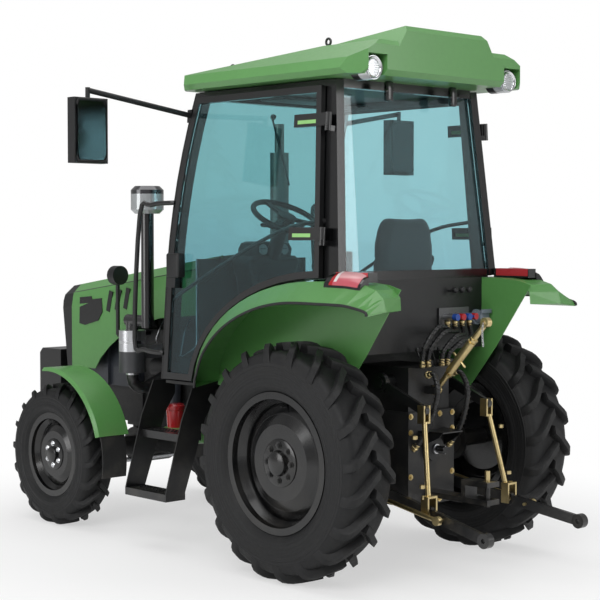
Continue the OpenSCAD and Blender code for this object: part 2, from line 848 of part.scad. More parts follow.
// Fixed panes
module windshield() {
    z0 = firewall_top_z + fit;
    z1 = door_top_z - cross_h + rail_h - fit;
    side = frame_depth + pillar_t;
    function half(z) = cab_y(z) - side / cos(cab_lean) - fit;
    color(pane) union() {
        intersection() {
            translate([0, cab_half_w, 0]) rotate([90, 0, 0]) linear_extrude(2 * cab_half_w) polygon(concat(
                [for (i = [0 : outline_steps]) let (z = z0 + (z1 - z0) * i / outline_steps)
                    [front_edge(z, pillar_w / 2)[0], z]],
                [for (i = [outline_steps : -1 : 0]) let (z = z0 + (z1 - z0) * i / outline_steps)
                    [front_edge(z, pillar_w / 2)[0] - glass_t, z]]));
            rotate([90, 0, 90]) linear_extrude(wheelbase) polygon([
                [-half(z0), z0], [half(z0), z0], [half(z1), z1], [-half(z1), z1]]);
        }
        both_sides() translate([door_front_x + pillar_w / 2 - glass_t, 0, 0]) rotate([90, 0, 90]) linear_extrude(glass_t)
            polygon([[firewall_half_w + fit, floor_z], [half(floor_z), floor_z], [half(z0), z0],
                [firewall_half_w + fit, z0]]);
    }
}

module rear_window() {
    z0 = waist_z + fit;
    z1 = door_top_z - cross_h + rail_h - fit;
    side = frame_depth + pillar_t;
    slope = (rear_glass_back - rear_glass_top_back) / (door_top_z - waist_z);
    x0 = -rear_glass_back + cross_t / 2;
    function half(z) = cab_y(z) - side / cos(cab_lean) - fit;
    color(pane) intersection() {
        translate([0, cab_half_w, 0]) rotate([90, 0, 0]) linear_extrude(2 * cab_half_w) polygon([
            [x0, z0],
            [x0 + glass_t, z0],
            [x0 + glass_t + slope * (z1 - z0), z1],
            [x0 + slope * (z1 - z0), z1]
        ]);
        rotate([90, 0, 90]) translate([0, 0, -rear_overhang]) linear_extrude(rear_overhang) polygon([
            [-half(z0), z0], [half(z0), z0], [half(z1), z1], [-half(z1), z1]]);
    }
}

// Doors: frame with a pane, two hinge plates and the latch
door_frame_w = 34;
hinge_plate_len = 240;
hinge_plate_h = 62;
hinge_plate_t = 12;
latch_len = 60;
latch_h = 150;
latch_z = 1472;
latch_out = 26;
module door(side) {
    color(black) on_side(side) difference() {
        union() {
            side_plane(0) linear_extrude(door_t) difference() {
                polygon(door_outline(0));
                polygon(door_outline(door_frame_w));
            }
            for (z = [hinge_up_z, hinge_low_z]) {
                side_plane(-hinge_plate_t) translate([hinge_x, z - floor_z, 0])
                    cube([hinge_plate_len, hinge_plate_h, hinge_plate_t + pane_depth - fit]);
                hinge_cyl(z, 0, hinge_plate_h, hinge_ear_r);
            }
            side_plane(-latch_out) translate([door_front_x - latch_len - door_frame_w, latch_z - floor_z - latch_h / 2, 0])
                cube([latch_len + door_frame_w / 2, latch_h, latch_out + pane_depth - fit]);
        }
        for (z = [hinge_up_z, hinge_low_z]) hinge_cyl(z, -overrun, hinge_plate_h + 2 * overrun, hinge_pin_r + fit);
    }
}

pane_depth = 10;
module door_glass(side) {
    color(pane) on_side(side) side_plane(pane_depth) linear_extrude(glass_t) polygon(door_outline(door_frame_w + fit));
}

// Rear fenders: loft from the cab-side curve to the lip, with an inner wall
fender_stations = 14;
tail_stations = 6;
tail_len = 460;
tail_drop_share = 0.22;
lip_drop_share = 0.096;
tail_slant_share = 0.14;
fender_shoulder_y = 650;
lip_t = 20;
wall_rear_share = 0.82;
wall_low_rear_share = 0.38;
fender_start_angle = fender_angle(floor_z, 0);
// Tail of a fender curve, falling in a round end
function tail_point(b, u, share) = [
    fender_cx - tail_len * sin(90 * u),
    fender_cz + b - share * b * pow(1 - cos(90 * u), 2)
];
function curve_point(a, b, s, d, share) = s <= 1
    ? [fender_cx + (a + d) * cos(fender_start_angle + (90 - fender_start_angle) * s),
        fender_cz + (b + d) * sin(fender_start_angle + (90 - fender_start_angle) * s)]
    : tail_point(b + d, s - 1, share);
function fender_ring(s) = let (
        t = sheet_t,
        in = curve_point(fender_a, fender_b, s, 0, tail_drop_share),
        low = curve_point(fender_a, fender_b, s, -t, tail_drop_share),
        lip = curve_point(lip_a, lip_b, s, 0, lip_drop_share),
        lip_low = curve_point(lip_a, lip_b, s, -t, lip_drop_share),
        back = s > 1 ? tail_slant_share * tail_len * (s - 1) : 0
    ) [
        [low[0] + back, fender_in_y, low[1]],
        [low[0], fender_shoulder_y - t, low[1]],
        [lip_low[0], fender_out_y, lip_low[1]],
        [lip[0], fender_out_y, lip[1]],
        [in[0], fender_shoulder_y, in[1]],
        [in[0] + back, fender_in_y, in[1]]
    ];
module fender(side) {
    stations = concat([for (i = [0 : fender_stations]) i / fender_stations],
        [for (i = [1 : tail_stations]) 1 + i / tail_stations]);
    low_z = floor_z - floor_t;
    color(paint) on_side(side) union() {
        loft([for (s = stations) fender_ring(s)]);
        side_plate(fender_in_y, fender_in_y + sheet_t) polygon(concat(
            [for (s = stations) if (s <= 1 + wall_rear_share)
                curve_point(fender_a, fender_b, s, -sheet_t / 2, tail_drop_share)],
            [[fender_cx - wall_low_rear_share * tail_len, low_z + fender_b * wall_low_rear_share],
                [fender_cx, low_z]],
            [[curve_point(fender_a, fender_b, 0, -sheet_t / 2, tail_drop_share)[0], low_z]]
        ));
    }
}

lamp_bar_len = 230;
lamp_bar_w = 60;
lamp_bar_h = 46;
lamp_bar_back = 90;
lamp_bar_y = 590;
module tail_lamps() {
    x = fender_cx - lamp_bar_back;
    color(signal) both_sides()
        block([x - lamp_bar_len, lamp_bar_y - lamp_bar_w / 2, fender_top_z + fit],
            [x, lamp_bar_y + lamp_bar_w / 2, fender_top_z + fit + lamp_bar_h]);
}

// Seat, dashboard and steering wheel
seat_x = -40;
seat_half_w = 240;
seat_len = 460;
seat_z = 1330;
seat_t = 110;
back_top_z = 1790;
back_t = 110;
seat_post = 150;
module seat() {
    color(dark) union() {
        block([seat_x, -seat_half_w, seat_z], [seat_x + seat_len, seat_half_w, seat_z + seat_t]);
        block([seat_x - back_t, -seat_half_w, seat_z], [seat_x, seat_half_w, back_top_z]);
        block([seat_x, -seat_post, shelf_z + fit], [riser_x + wall_t, seat_post, seat_z]);
    }
}

dash_len = 190;
dash_half_w = 190;
dash_top_z = 1640;
column_r = 26;
wheel_x = 770;
wheel_z = 1770;
wheel_tilt = 28;
wheel_r = 205;
grip_r = 15;
column_len = 180;
shaft_r = 10;
hub_h = 30;
module dashboard() {
    color(dark) difference() {
        union() {
            block([firewall_x - dash_len, -dash_half_w, floor_z + fit], [firewall_x - fit, dash_half_w, dash_top_z]);
            translate([wheel_x, 0, wheel_z]) rotate([0, -wheel_tilt, 0])
                translate([0, 0, -hub_h / 2 - fit - column_len * 2]) cylinder(h = column_len * 2, r = column_r);
        }
        block([0, -dash_half_w, 0], [firewall_x, dash_half_w, floor_z + fit]);
    }
}

module steering_wheel() {
    color(black) translate([wheel_x, 0, wheel_z]) rotate([0, -wheel_tilt, 0]) union() {
        rotate_extrude() translate([wheel_r - grip_r, 0]) circle(r = grip_r);
        translate([0, 0, -hub_h / 2]) cylinder(h = hub_h, r = column_r * 2);
        for (i = [0 : 2]) rotate([0, 0, 120 * i]) translate([0, -grip_r, -hub_h / 4]) cube([wheel_r - grip_r, 2 * grip_r, hub_h / 2]);
    }
}

// Intake and exhaust
cleaner_x = 1585;
stack_y = 445;
cleaner_r = 76;
cleaner_low_z = 895;
cleaner_top_z = 1135;
stack_x = 1440;
stack_r = 36;
bowl_r = 92;
bowl_low_z = 1795;
bowl_top_z = 1949;
bowl_edge = 22;
elbow_z = 1190;
module air_cleaner() {
    color(steel) union() {
        translate([cleaner_x, stack_y, cleaner_low_z]) cylinder(h = cleaner_top_z - cleaner_low_z, r = cleaner_r);
        block([cleaner_x - cleaner_r / 2, engine_half_w, cleaner_low_z + cleaner_r], [cleaner_x + cleaner_r / 2, stack_y, cleaner_low_z + 2 * cleaner_r]);
    }
}

module intake_stack() {
    color(black) union() {
        translate([stack_x, stack_y, elbow_z - stack_r]) cylinder(h = bowl_low_z - elbow_z + stack_r, r = stack_r);
        rod([stack_x, stack_y, elbow_z], [cleaner_x + stack_r, stack_y, elbow_z], stack_r * 0.98);
        translate([cleaner_x, stack_y, cleaner_top_z + fit]) cylinder(h = elbow_z - cleaner_top_z, r = stack_r);
        translate([stack_x, stack_y, bowl_low_z]) rotate_extrude() polygon([
            [0, 0],
            [bowl_r - bowl_edge, 0],
            [bowl_r, bowl_edge],
            [bowl_r, bowl_top_z - bowl_low_z - bowl_edge],
            [bowl_r - bowl_edge, bowl_top_z - bowl_low_z],
            [0, bowl_top_z - bowl_low_z]
        ]);
    }
}

exhaust_x = 1300;
exhaust_y = -430;
muffler_r = 55;
muffler_low_z = 1480;
muffler_top_z = 2160;
pipe_r = 28;
pipe_top_z = 2330;
pipe_low_z = 1080;
module exhaust() {
    color(steel) union() {
        translate([exhaust_x, exhaust_y, muffler_low_z]) cylinder(h = muffler_top_z - muffler_low_z, r = muffler_r);
        translate([exhaust_x, exhaust_y, pipe_low_z - pipe_r]) cylinder(h = pipe_top_z - pipe_low_z + pipe_r, r = pipe_r);
        rod([exhaust_x, exhaust_y, pipe_low_z], [exhaust_x, -engine_half_w, pipe_low_z], pipe_r * 0.97);
    }
}

side_lamp_x = 1790;
side_lamp_y = 395;
side_lamp_z = 1442;
side_lamp_r = 55;
side_lamp_t = 60;
stalk_r = 12;
module side_lamps() {
    color(black) both_sides() union() {
        translate([side_lamp_x - side_lamp_t / 2, side_lamp_y, side_lamp_z]) rotate([0, 90, 0]) cylinder(h = side_lamp_t, r = side_lamp_r);
        rod([side_lamp_x, side_lamp_y, side_lamp_z], [side_lamp_x, side_lamp_y, engine_top_z - 2 * stalk_r], stalk_r);
        rod([side_lamp_x, side_lamp_y, engine_top_z - 2 * stalk_r], [side_lamp_x, engine_half_w, engine_top_z - 2 * stalk_r], stalk_r * 0.95);
    }
}

// Mirrors on arms from the front pillars
mirror_x = 1010;
mirror_y = 1150;
mirror_z = 2205;
mirror_h = 330;
mirror_w = 205;
mirror_t = 60;
arm_root_z = 2310;
arm_tip_z = 2410;
arm_r = 14;
stem_r = 12;
base_half_w = 17;
base_share = 0.62;
base_t = 22;
module mirrors() {
    base_x = front_edge(arm_root_z, pillar_w * base_share)[0];
    root = [base_x, cab_y(arm_root_z) - frame_depth + base_t, arm_root_z];
    color(black) both_sides() union() {
        side_plane(frame_depth - base_t - fit) translate([base_x - base_half_w, arm_root_z - floor_z - 2 * base_half_w, 0])
            cube([2 * base_half_w, 4 * base_half_w, base_t]);
        rod(root, [mirror_x, mirror_y, arm_tip_z], arm_r);
        rod([mirror_x, mirror_y, arm_tip_z + arm_r], [mirror_x, mirror_y, mirror_z], stem_r);
        block([mirror_x - mirror_t / 2, mirror_y - mirror_w / 2, mirror_z - mirror_h / 2],
            [mirror_x + mirror_t / 2, mirror_y + mirror_w / 2, mirror_z + mirror_h / 2]);
    }
}

// Steps: two cheeks and two treads a side
step_rear_x = 880;
step_front_x = 1235;
cheek_t = 8;
cheek_w = 80;
tread_depth = 130;
tread_h = 40;
tread_low_z = 275;
tread_up_z = 580;
step_out_y = 760;
step_lean = 110;
step_top_z = floor_z - floor_t - fit;
step_top_y = 500;
step_knee_z = 700;
module step_cheek() {
    polygon([
        [step_out_y, tread_low_z],
        [step_out_y, tread_low_z + tread_h],
        [step_out_y - step_lean, step_knee_z],
        [step_out_y - step_lean - cheek_w, step_top_z],
        [step_top_y - cheek_w, step_top_z],
        [step_top_y - cheek_w, step_top_z - cheek_w],
        [step_out_y - step_lean - 2 * cheek_w, step_knee_z],
        [step_out_y - tread_depth, tread_low_z + tread_h],
        [step_out_y - tread_depth, tread_low_z]
    ]);
}

module steps() {
    color(black) both_sides() union() {
        for (x = [step_rear_x, step_front_x - cheek_t])
            translate([x, 0, 0]) rotate([90, 0, 90]) linear_extrude(cheek_t) step_cheek();
        block([step_rear_x, step_out_y - tread_depth, tread_low_z], [step_front_x, step_out_y, tread_low_z + tread_h]);
        block([step_rear_x, step_out_y - step_lean - tread_depth, tread_up_z],
            [step_front_x, step_out_y - step_lean, tread_up_z + tread_h]);
    }
}

rail_r = 13;
rail_set = 35;
rail_foot = 34;
rail_out = 84;
rail_ahead = 165;
rail_bend = 70;
rail_steps = 4;
rail_low_z = 1045;
rail_top_z = 1850;
// Point of the rail, ahead of its lower foot by a and out from the face of the front pillar by d
function rail_point(z, a, d) = [front_edge(z, rail_set)[0] + a, z - floor_z, -d];
module grab_rails() {
    back = front_edge(rail_low_z, 0)[0] - front_edge(rail_top_z, 0)[0];
    color(black) both_sides() side_plane(frame_depth - fit) tube(concat([rail_point(rail_low_z, 0, 0)], smooth([
        rail_point(rail_low_z, 0, rail_r),
        rail_point(rail_low_z, 0, rail_foot),
        rail_point(rail_low_z + rail_r, rail_ahead - rail_bend, rail_out - rail_r),
        rail_point(rail_low_z + rail_bend, rail_ahead, rail_out),
        rail_point(rail_top_z - rail_bend, rail_ahead + back, rail_out),
        rail_point(rail_top_z - rail_r, rail_ahead + back - rail_bend, rail_out - rail_r),
        rail_point(rail_top_z, 0, rail_foot),
        rail_point(rail_top_z, 0, rail_r)
    ], rail_steps), [rail_point(rail_top_z, 0, 0)]), rail_r);
}

eye_front_x = 720;
eye_rear_x = 0;
eye_y = 430;
eye_r = 22;
eye_wire = 6;
// Height of the roof's side panels at x
function roof_at(x) = roof_side_z - (roof_side_z - roof_front_z) * max(x, 0) / (roof_front_x - roof_edge);
module lifting_eyes() {
    color(black) both_sides() for (x = [eye_front_x, eye_rear_x])
        translate([x, eye_y, roof_at(x) + eye_r + fit]) rotate([90, 0, 0])
            rotate_extrude() translate([eye_r - eye_wire, 0]) circle(r = eye_wire);
}

// Lift housing on the rear housing, with the rockshaft bore, and the arms on it
lift_x0 = -280;
lift_x1 = 62;
lift_half_w = 150;
lift_top_z = 1020;
rock_back = 170;
rock_z = 945;
rock_r = 30;
top_bracket_back = 310;
top_pin_back = 330;
top_pin_z = 905;
top_pin_r = 9.5;
top_ear_t = 14;
top_ear_in = 17;
module lift_housing() {
    color(black) difference() {
        union() {
            block([lift_x0, -lift_half_w, housing_top_z], [lift_x1, lift_half_w, lift_top_z]);
            both_sides() block([-top_pin_back - 2 * top_pin_r, top_ear_in, top_pin_z - 2 * top_pin_r],
                [lift_x0 + overrun, top_ear_in + top_ear_t, top_pin_z + 2 * top_pin_r]);
            pin_y(-top_pin_back, top_pin_z, -top_ear_in - top_ear_t, top_ear_in + top_ear_t, top_pin_r);
        }
        pin_y(-rock_back, rock_z, -lift_half_w - overrun, lift_half_w + overrun, rock_r + fit);
    }
}

lift_pin_back = 459;
lift_pin_z = 830;
arm_y = 233;
arm_t = 26;
arm_hub_r = 50;
arm_tip_r = 26;
arm_h = 46;
arm_web_t = 20;
lift_pin_r = 10;
module lift_arms() {
    color(black) difference() {
        union() {
            pin_y(-rock_back, rock_z, -arm_y - arm_t / 2 - pin_head, arm_y + arm_t / 2 + pin_head, rock_r);
            both_sides() {
                pin_y(-rock_back, rock_z, arm_y - arm_t / 2, arm_y + arm_t / 2, arm_hub_r);
                pin_y(-lift_pin_back, lift_pin_z, arm_y - arm_t / 2, arm_y + arm_t / 2, arm_tip_r);
                beam([-rock_back, arm_y, rock_z], [-lift_pin_back, arm_y, lift_pin_z], arm_web_t, arm_h);
            }
        }
        both_sides() pin_y(-lift_pin_back, lift_pin_z, arm_y - arm_t, arm_y + arm_t, lift_pin_r + fit);
    }
}

// Lift rods: clevis on the arm's pin, screw tube, fork astride the lower link
// The lower link's middle, y and z, at a place behind the rear axle
eye_end_r = 35;
link_x = -(rear_overhang - eye_end_r);
function link_at(back) = let (u = (back - link_pivot_back) / (-link_x - link_pivot_back))
    [link_front_y + (eye_half_w - link_front_y) * u, link_pivot_z + (eye_z - link_pivot_z) * u];
rod_low_back = 554;
rod_low_y = link_at(rod_low_back)[0];
rod_low_z = link_at(rod_low_back)[1];
rod_r = 13;
rod_eye_r = 34;
rod_slot_r = 19;
clevis_t = 10;
clevis_h = 62;
clevis_half_w = 21;
fork_h = 82;
fork_half_w = 22;
fork_low = 20;
fork_in = 24;
fork_pin_r = 9;
module lift_rods() {
    top = [-lift_pin_back, arm_y, lift_pin_z];
    low = [-rod_low_back, rod_low_y, rod_low_z];
    d = unit(low - top);
    in = arm_t / 2 + fit;
    out = fork_in + clevis_t;
    color(zinc) both_sides() union() {
        pin_y(-lift_pin_back, lift_pin_z, arm_y - in - clevis_t, arm_y + in + clevis_t, lift_pin_r);
        for (y = [arm_y - in - clevis_t, arm_y + in])
            block([-lift_pin_back - clevis_half_w, y, lift_pin_z - clevis_h],
                [-lift_pin_back + clevis_half_w, y + clevis_t, lift_pin_z + arm_tip_r]);
        block([-lift_pin_back - clevis_half_w, arm_y - in - clevis_t, lift_pin_z - clevis_h],
            [-lift_pin_back + clevis_half_w, arm_y + in + clevis_t, lift_pin_z - clevis_h + clevis_t]);
        rod(top + d * (clevis_h - clevis_t / 2), low - d * fork_h, rod_r);
        block([-rod_low_back - fork_half_w, rod_low_y - out, rod_low_z + fork_h - clevis_t],
            [-rod_low_back + fork_half_w, rod_low_y + out, rod_low_z + fork_h]);
        for (y = [rod_low_y - out, rod_low_y + fork_in])
            block([-rod_low_back - fork_half_w, y, rod_low_z - fork_low],
                [-rod_low_back + fork_half_w, y + clevis_t, rod_low_z + fork_h]);
        pin_y(-rod_low_back, rod_low_z, rod_low_y - out, rod_low_y + out, fork_pin_r);
    }
}

// Lower links with ball eyes, and the stabilisers beside them
eye_end_w = 40;
link_h = 50;
link_t = 22;
stab_back = 655;
stab_y = 354;
stab_end_r = 8;
module lower_links() {
    color(black) both_sides() difference() {
        union() {
            pin_y(-link_pivot_back, link_pivot_z, link_front_y - link_eye_w / 2, link_front_y + link_eye_w / 2, link_eye_r);
            beam([-link_pivot_back, link_front_y, link_pivot_z], [link_x, eye_half_w, eye_z], link_t, link_h);
            pin_y(link_x, eye_z, eye_half_w - eye_end_w / 2, eye_half_w + eye_end_w / 2, eye_end_r);
            pin_y(-rod_low_back, rod_low_z, rod_low_y - link_t / 2, rod_low_y + link_t / 2, rod_eye_r);
        }
        pin_y(-link_pivot_back, link_pivot_z, 0, 2 * link_front_y, link_pin_r + fit);
        pin_y(link_x, eye_z, 0, 2 * eye_half_w, eye_bore / 2);
        pin_y(-rod_low_back, rod_low_z, 0, 2 * rod_low_y, rod_slot_r);
        pin_y(-stab_back, link_at(stab_back)[1], 0, 2 * stab_y, stab_end_r + fit);
    }
}

stab_r = 11;
module stabilisers() {
    z = link_at(stab_back)[1];
    y = link_at(stab_back)[0];
    color(zinc) both_sides() difference() {
        union() {
            pin_y(-link_pivot_back, link_pivot_z, stab_front_y - stab_eye_w / 2, stab_front_y + stab_eye_w / 2, stab_eye_r);
            pin_y(-stab_back, z, stab_y - stab_eye_w / 2, stab_y + stab_eye_w / 2, stab_eye_r);
            pin_y(-stab_back, z, y - link_t, stab_y, stab_end_r);
            rod([-link_pivot_back, stab_front_y, link_pivot_z], [-stab_back, stab_y, z], stab_r);
        }
        pin_y(-link_pivot_back, link_pivot_z, 0, 2 * stab_front_y, stab_pin_r + fit);
    }
}

top_end_back = 650;
top_end_z = 1255;
top_eye_r = 24;
top_eye_w = 32;
top_rod_r = 15;
top_tube_r = 22;
top_tube_share = 0.28;
module top_link() {
    a = [-top_pin_back, 0, top_pin_z];
    b = [-top_end_back, 0, top_end_z];
    color(zinc) difference() {
        union() {
            pin_y(a[0], a[2], -top_eye_w / 2, top_eye_w / 2, top_eye_r);
            pin_y(b[0], b[2], -top_eye_w / 2, top_eye_w / 2, top_eye_r);
            rod(a, b, top_rod_r);
            rod(a + (b - a) * top_tube_share, b - (b - a) * top_tube_share, top_tube_r);
        }
        pin_y(a[0], a[2], -top_eye_w, top_eye_w, top_pin_r + fit);
        pin_y(b[0], b[2], -top_eye_w, top_eye_w, top_bore / 2);
    }
}

// Couplers on a bracket at the cab's rear wall
coupler_y = -250;
coupler_z = 1260;
coupler_r = 17;
coupler_len = 90;
coupler_count = 4;
coupler_pitch = 48;
plate_w = 230;
plate_h = 90;
plate_t = 10;
module couplers() {
    x = -rear_glass_back + overrun - plate_t;
    color(steel) union() {
        block([x, coupler_y - plate_w / 2, coupler_z - plate_h / 2], [x + plate_t, coupler_y + plate_w / 2, coupler_z + plate_h / 2]);
        for (i = [0 : coupler_count - 1])
            translate([x - coupler_len, coupler_y + (i - (coupler_count - 1) / 2) * coupler_pitch, coupler_z]) rotate([0, 90, 0]) cylinder(h = coupler_len + plate_t / 2, r = coupler_r);
    }
}

// Drawbar under the rear housing with a jaw and its pin
drawbar_half_w = 45;
drawbar_t = 26;
drawbar_z = 400;
drawbar_back = 700;
jaw_gap = 60;
jaw_back = 560;
draw_pin_back = 663;
draw_pin_r = 13;
draw_pin_top = 90;
module drawbar() {
    color(black) union() {
        block([-drawbar_back, -drawbar_half_w, drawbar_z - drawbar_t], [-housing_back, drawbar_half_w, drawbar_z]);
        block([-drawbar_back, -drawbar_half_w, drawbar_z + jaw_gap], [-jaw_back, drawbar_half_w, drawbar_z + jaw_gap + drawbar_t]);
        block([-jaw_back, -drawbar_half_w, drawbar_z - drawbar_t], [-jaw_back + drawbar_t, drawbar_half_w, drawbar_z + jaw_gap + drawbar_t]);
        translate([-draw_pin_back, 0, drawbar_z - drawbar_t - draw_pin_r]) cylinder(h = drawbar_t + jaw_gap + draw_pin_top, r = draw_pin_r);
    }
}

// Hood: leaning tunnel cut to the side outline, and its black nose
hood_slope_end_x = 2380;
hood_crown = 18;
hood_shoulder = 70;
hood_shoulder_z = 150;
hood_side_z = 1235;
hood_low_z = 870;
hood_front_x = 2392;
hood_arch_shares = [[0.32, 0.10], [0.50, 0.25], [0.61, 0.42], [0.70, 0.62], [0.77, 0.82], [0.81, 1.0]];
nose_x = 2492;
nose_low_x = 2440;
nose_edge_z = 1330;
nose_cut = 60;
hood_angle = atan((hood_rear_z - hood_nose_z) / (hood_slope_end_x - hood_rear_x));
ear_r = 16;
ear_len = 90;
// Top of the hinge ears, inside the hood's skin, and its fall along the ear
ear_top_z = hood_rear_z - hood_crown * hood_pin_y / (hood_half_w - hood_shoulder) - sheet_t;
ear_drop = ear_len * tan(hood_angle);
function hood_section(d) = [
    [-hood_half_w + d, -hood_rear_z],
    [hood_half_w - d, -hood_rear_z],
    [hood_half_w - d, -hood_shoulder_z],
    [hood_half_w - d - hood_shoulder / 5, -hood_shoulder],
    [hood_half_w - hood_shoulder - d / 2, -hood_crown - d],
    [0, -d],
    [-hood_half_w + hood_shoulder + d / 2, -hood_crown - d],
    [-hood_half_w + d + hood_shoulder / 5, -hood_shoulder],
    [-hood_half_w + d, -hood_shoulder_z]
];
module hood_prism(d, extra) {
    translate([hood_rear_x, 0, hood_rear_z]) rotate([0, hood_angle, 0]) rotate([90, 0, 90])
        translate([0, 0, -hood_rear_z - extra]) linear_extrude(2 * hood_rear_z + 2 * extra) polygon(hood_section(d));
}

module hood_tunnel() {
    difference() {
        hood_prism(0, 0);
        hood_prism(sheet_t, overrun);
    }
}

module hood() {
    span = hood_front_x - hood_rear_x;
    drop = hood_side_z - hood_low_z;
    color(paint) difference() {
        union() {
            intersection() {
                hood_tunnel();
                side_plate(-hood_half_w, hood_half_w) polygon(concat(
                    [[hood_rear_x, hood_side_z]],
                    [for (q = hood_arch_shares) [hood_rear_x + q[0] * span, hood_side_z - q[1] * drop]],
                    [[hood_front_x, hood_low_z], [hood_front_x, hood_rear_z], [hood_rear_x, hood_rear_z]]
                ));
            }
            both_sides() side_plate(hood_pin_y + fit, hood_pin_y + fit + hood_ear_t / 2) polygon([
                [hood_pin_x - ear_r, hood_pin_z - ear_r],
                [hood_rear_x, hood_pin_z - 2 * ear_r],
                [hood_rear_x + ear_len, ear_top_z - ear_drop - 2 * ear_r],
                [hood_rear_x + ear_len, ear_top_z - ear_drop],
                [hood_rear_x, ear_top_z],
                [hood_pin_x - ear_r, hood_pin_z + ear_r]
            ]);
        }
        both_sides() pin_y(hood_pin_x, hood_pin_z, hood_pin_y - overrun, hood_pin_y + 2 * overrun, hood_pin_r + fit);
    }
}

module hood_nose() {
    color(black) difference() {
        intersection() {
            hood_prism(0, 0);
            side_plate(-hood_half_w, hood_half_w) polygon([
                [hood_front_x, hood_low_z],
                [nose_low_x, hood_low_z],
                [nose_x, nose_edge_z - nose_cut],
                [nose_x - nose_cut / 4, nose_edge_z],
                [hood_front_x, hood_rear_z]
            ]);
        }
        intersection() {
            hood_prism(sheet_t * 2, overrun);
            block([hood_front_x - overrun, -hood_half_w, hood_low_z - overrun], [nose_low_x - sheet_t * 2, hood_half_w, hood_rear_z]);
        }
    }
}

at_origin() {
    front_frame();
    front_weight();
    engine();
    radiator();
    gearbox();
    rear_axle();
    front_axle();
    air_cleaner();
    intake_stack();
    exhaust();
    cab_frame();
    cab_floor();
    roof();
    windshield();
    rear_window();
    seat();
    dashboard();
    fender(1);  // fender_left
    fender(-1);  // fender_right
    tail_lamps();
    work_lamps();
    side_lamps();
    mirrors();
    steps();
    grab_rails();
    lifting_eyes();
    lift_housing();
    couplers();
    drawbar();
    steering_wheel();
    knuckle(1);  // knuckle_left
    knuckle(-1);  // knuckle_right
    front_fender(1);  // front_fender_left
    front_fender(-1);  // front_fender_right
    mud_flap(1);  // mud_flap_left
    mud_flap(-1);  // mud_flap_right
    tie_rod();
    front_tyre(1);  // front_tyre_left
    front_tyre(-1);  // front_tyre_right
    rear_tyre(1);  // rear_tyre_left
    rear_tyre(-1);  // rear_tyre_right
    front_rim(1);  // front_rim_left
    front_rim(-1);  // front_rim_right
    rear_rim(1);  // rear_rim_left
    rear_rim(-1);  // rear_rim_right
    door(1);  // door_left
    door(-1);  // door_right
    door_glass(1);  // door_glass_left
    door_glass(-1);  // door_glass_right
    hood();
    hood_nose();
    lower_links();
    stabilisers();
    lift_arms();
    lift_rods();
    top_link();
}
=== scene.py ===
"""Farm tractor: finishes, glass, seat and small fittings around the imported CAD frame."""

import math

import bmesh
import bpy
from mathutils import Matrix, Vector
from mathutils.bvhtree import BVHTree


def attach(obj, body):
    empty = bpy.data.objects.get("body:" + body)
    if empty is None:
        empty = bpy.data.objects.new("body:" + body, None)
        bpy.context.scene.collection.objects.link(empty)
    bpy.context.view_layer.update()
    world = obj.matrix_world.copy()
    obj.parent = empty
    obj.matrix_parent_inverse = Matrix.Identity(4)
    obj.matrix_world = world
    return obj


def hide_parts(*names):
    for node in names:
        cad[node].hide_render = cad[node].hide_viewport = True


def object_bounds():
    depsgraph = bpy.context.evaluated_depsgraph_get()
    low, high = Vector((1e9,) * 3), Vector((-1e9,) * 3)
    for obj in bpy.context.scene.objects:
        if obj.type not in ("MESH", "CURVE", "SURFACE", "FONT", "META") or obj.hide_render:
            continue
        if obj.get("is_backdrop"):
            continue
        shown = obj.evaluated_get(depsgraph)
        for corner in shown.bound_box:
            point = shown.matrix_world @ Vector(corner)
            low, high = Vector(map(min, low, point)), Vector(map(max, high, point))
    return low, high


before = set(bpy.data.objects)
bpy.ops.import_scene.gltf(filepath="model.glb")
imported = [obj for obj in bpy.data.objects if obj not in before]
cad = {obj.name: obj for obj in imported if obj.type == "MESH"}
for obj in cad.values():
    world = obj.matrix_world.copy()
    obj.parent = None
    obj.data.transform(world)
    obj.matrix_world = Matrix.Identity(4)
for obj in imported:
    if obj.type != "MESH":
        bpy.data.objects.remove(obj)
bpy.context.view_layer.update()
scene = bpy.context.scene
MID_X = 0.8875  # the rear axle stands this far behind the frame's origin
SIDES = (("left", 1), ("right", -1))
BOTH = (1, -1)
UP, LEFT, FORWARD, BACKWARD = (0, 0, 1), (0, 1, 0), (1, 0, 0), (-1, 0, 0)
QUARTER = math.pi / 2
PHOTO, FOCAL, SHIFT_X, SHIFT_Y = 600, 1526.6, -1.3, -1.8  # the camera fitted to the photo, in pixels
CAMERA_YAW, CAMERA_PITCH, CAMERA_EYE = -43.18, -2.42, (-5400, 5680, 1683)
SCREEN_R, SCREEN_X, SCREEN_Z = 3130, 1065, 1400  # the windshield's bend, its foremost place and the height of it


def at(x, y, z):
    """A point given in millimetres from the rear axle's middle on the ground, in the frame."""
    return Vector((x / 1000 - MID_X, y / 1000, z / 1000))


def in_mm(p):
    """The inverse of at."""
    return (Vector(p) + Vector((MID_X, 0, 0))) * 1000


def on_screen(y, z, off):
    """A place off the outer face of the windshield, in millimetres."""
    bend = SCREEN_R - math.sqrt(SCREEN_R**2 - (z - SCREEN_Z) ** 2)
    return (SCREEN_X - bend + off, y, z)


def turns(count):
    """Angles that part a full turn."""
    return [2 * math.pi * k / count for k in range(count)]


# --- camera and light


def placed(name, data, place=(0, 0, 0), look=None):
    """A new object in the scene, turned to look along a way."""
    made = bpy.data.objects.new(name, data)
    made.location = place
    if look is not None:
        made.rotation_mode = "QUATERNION"
        made.rotation_quaternion = look.to_track_quat("-Z", "Y")
    scene.collection.objects.link(made)
    return made


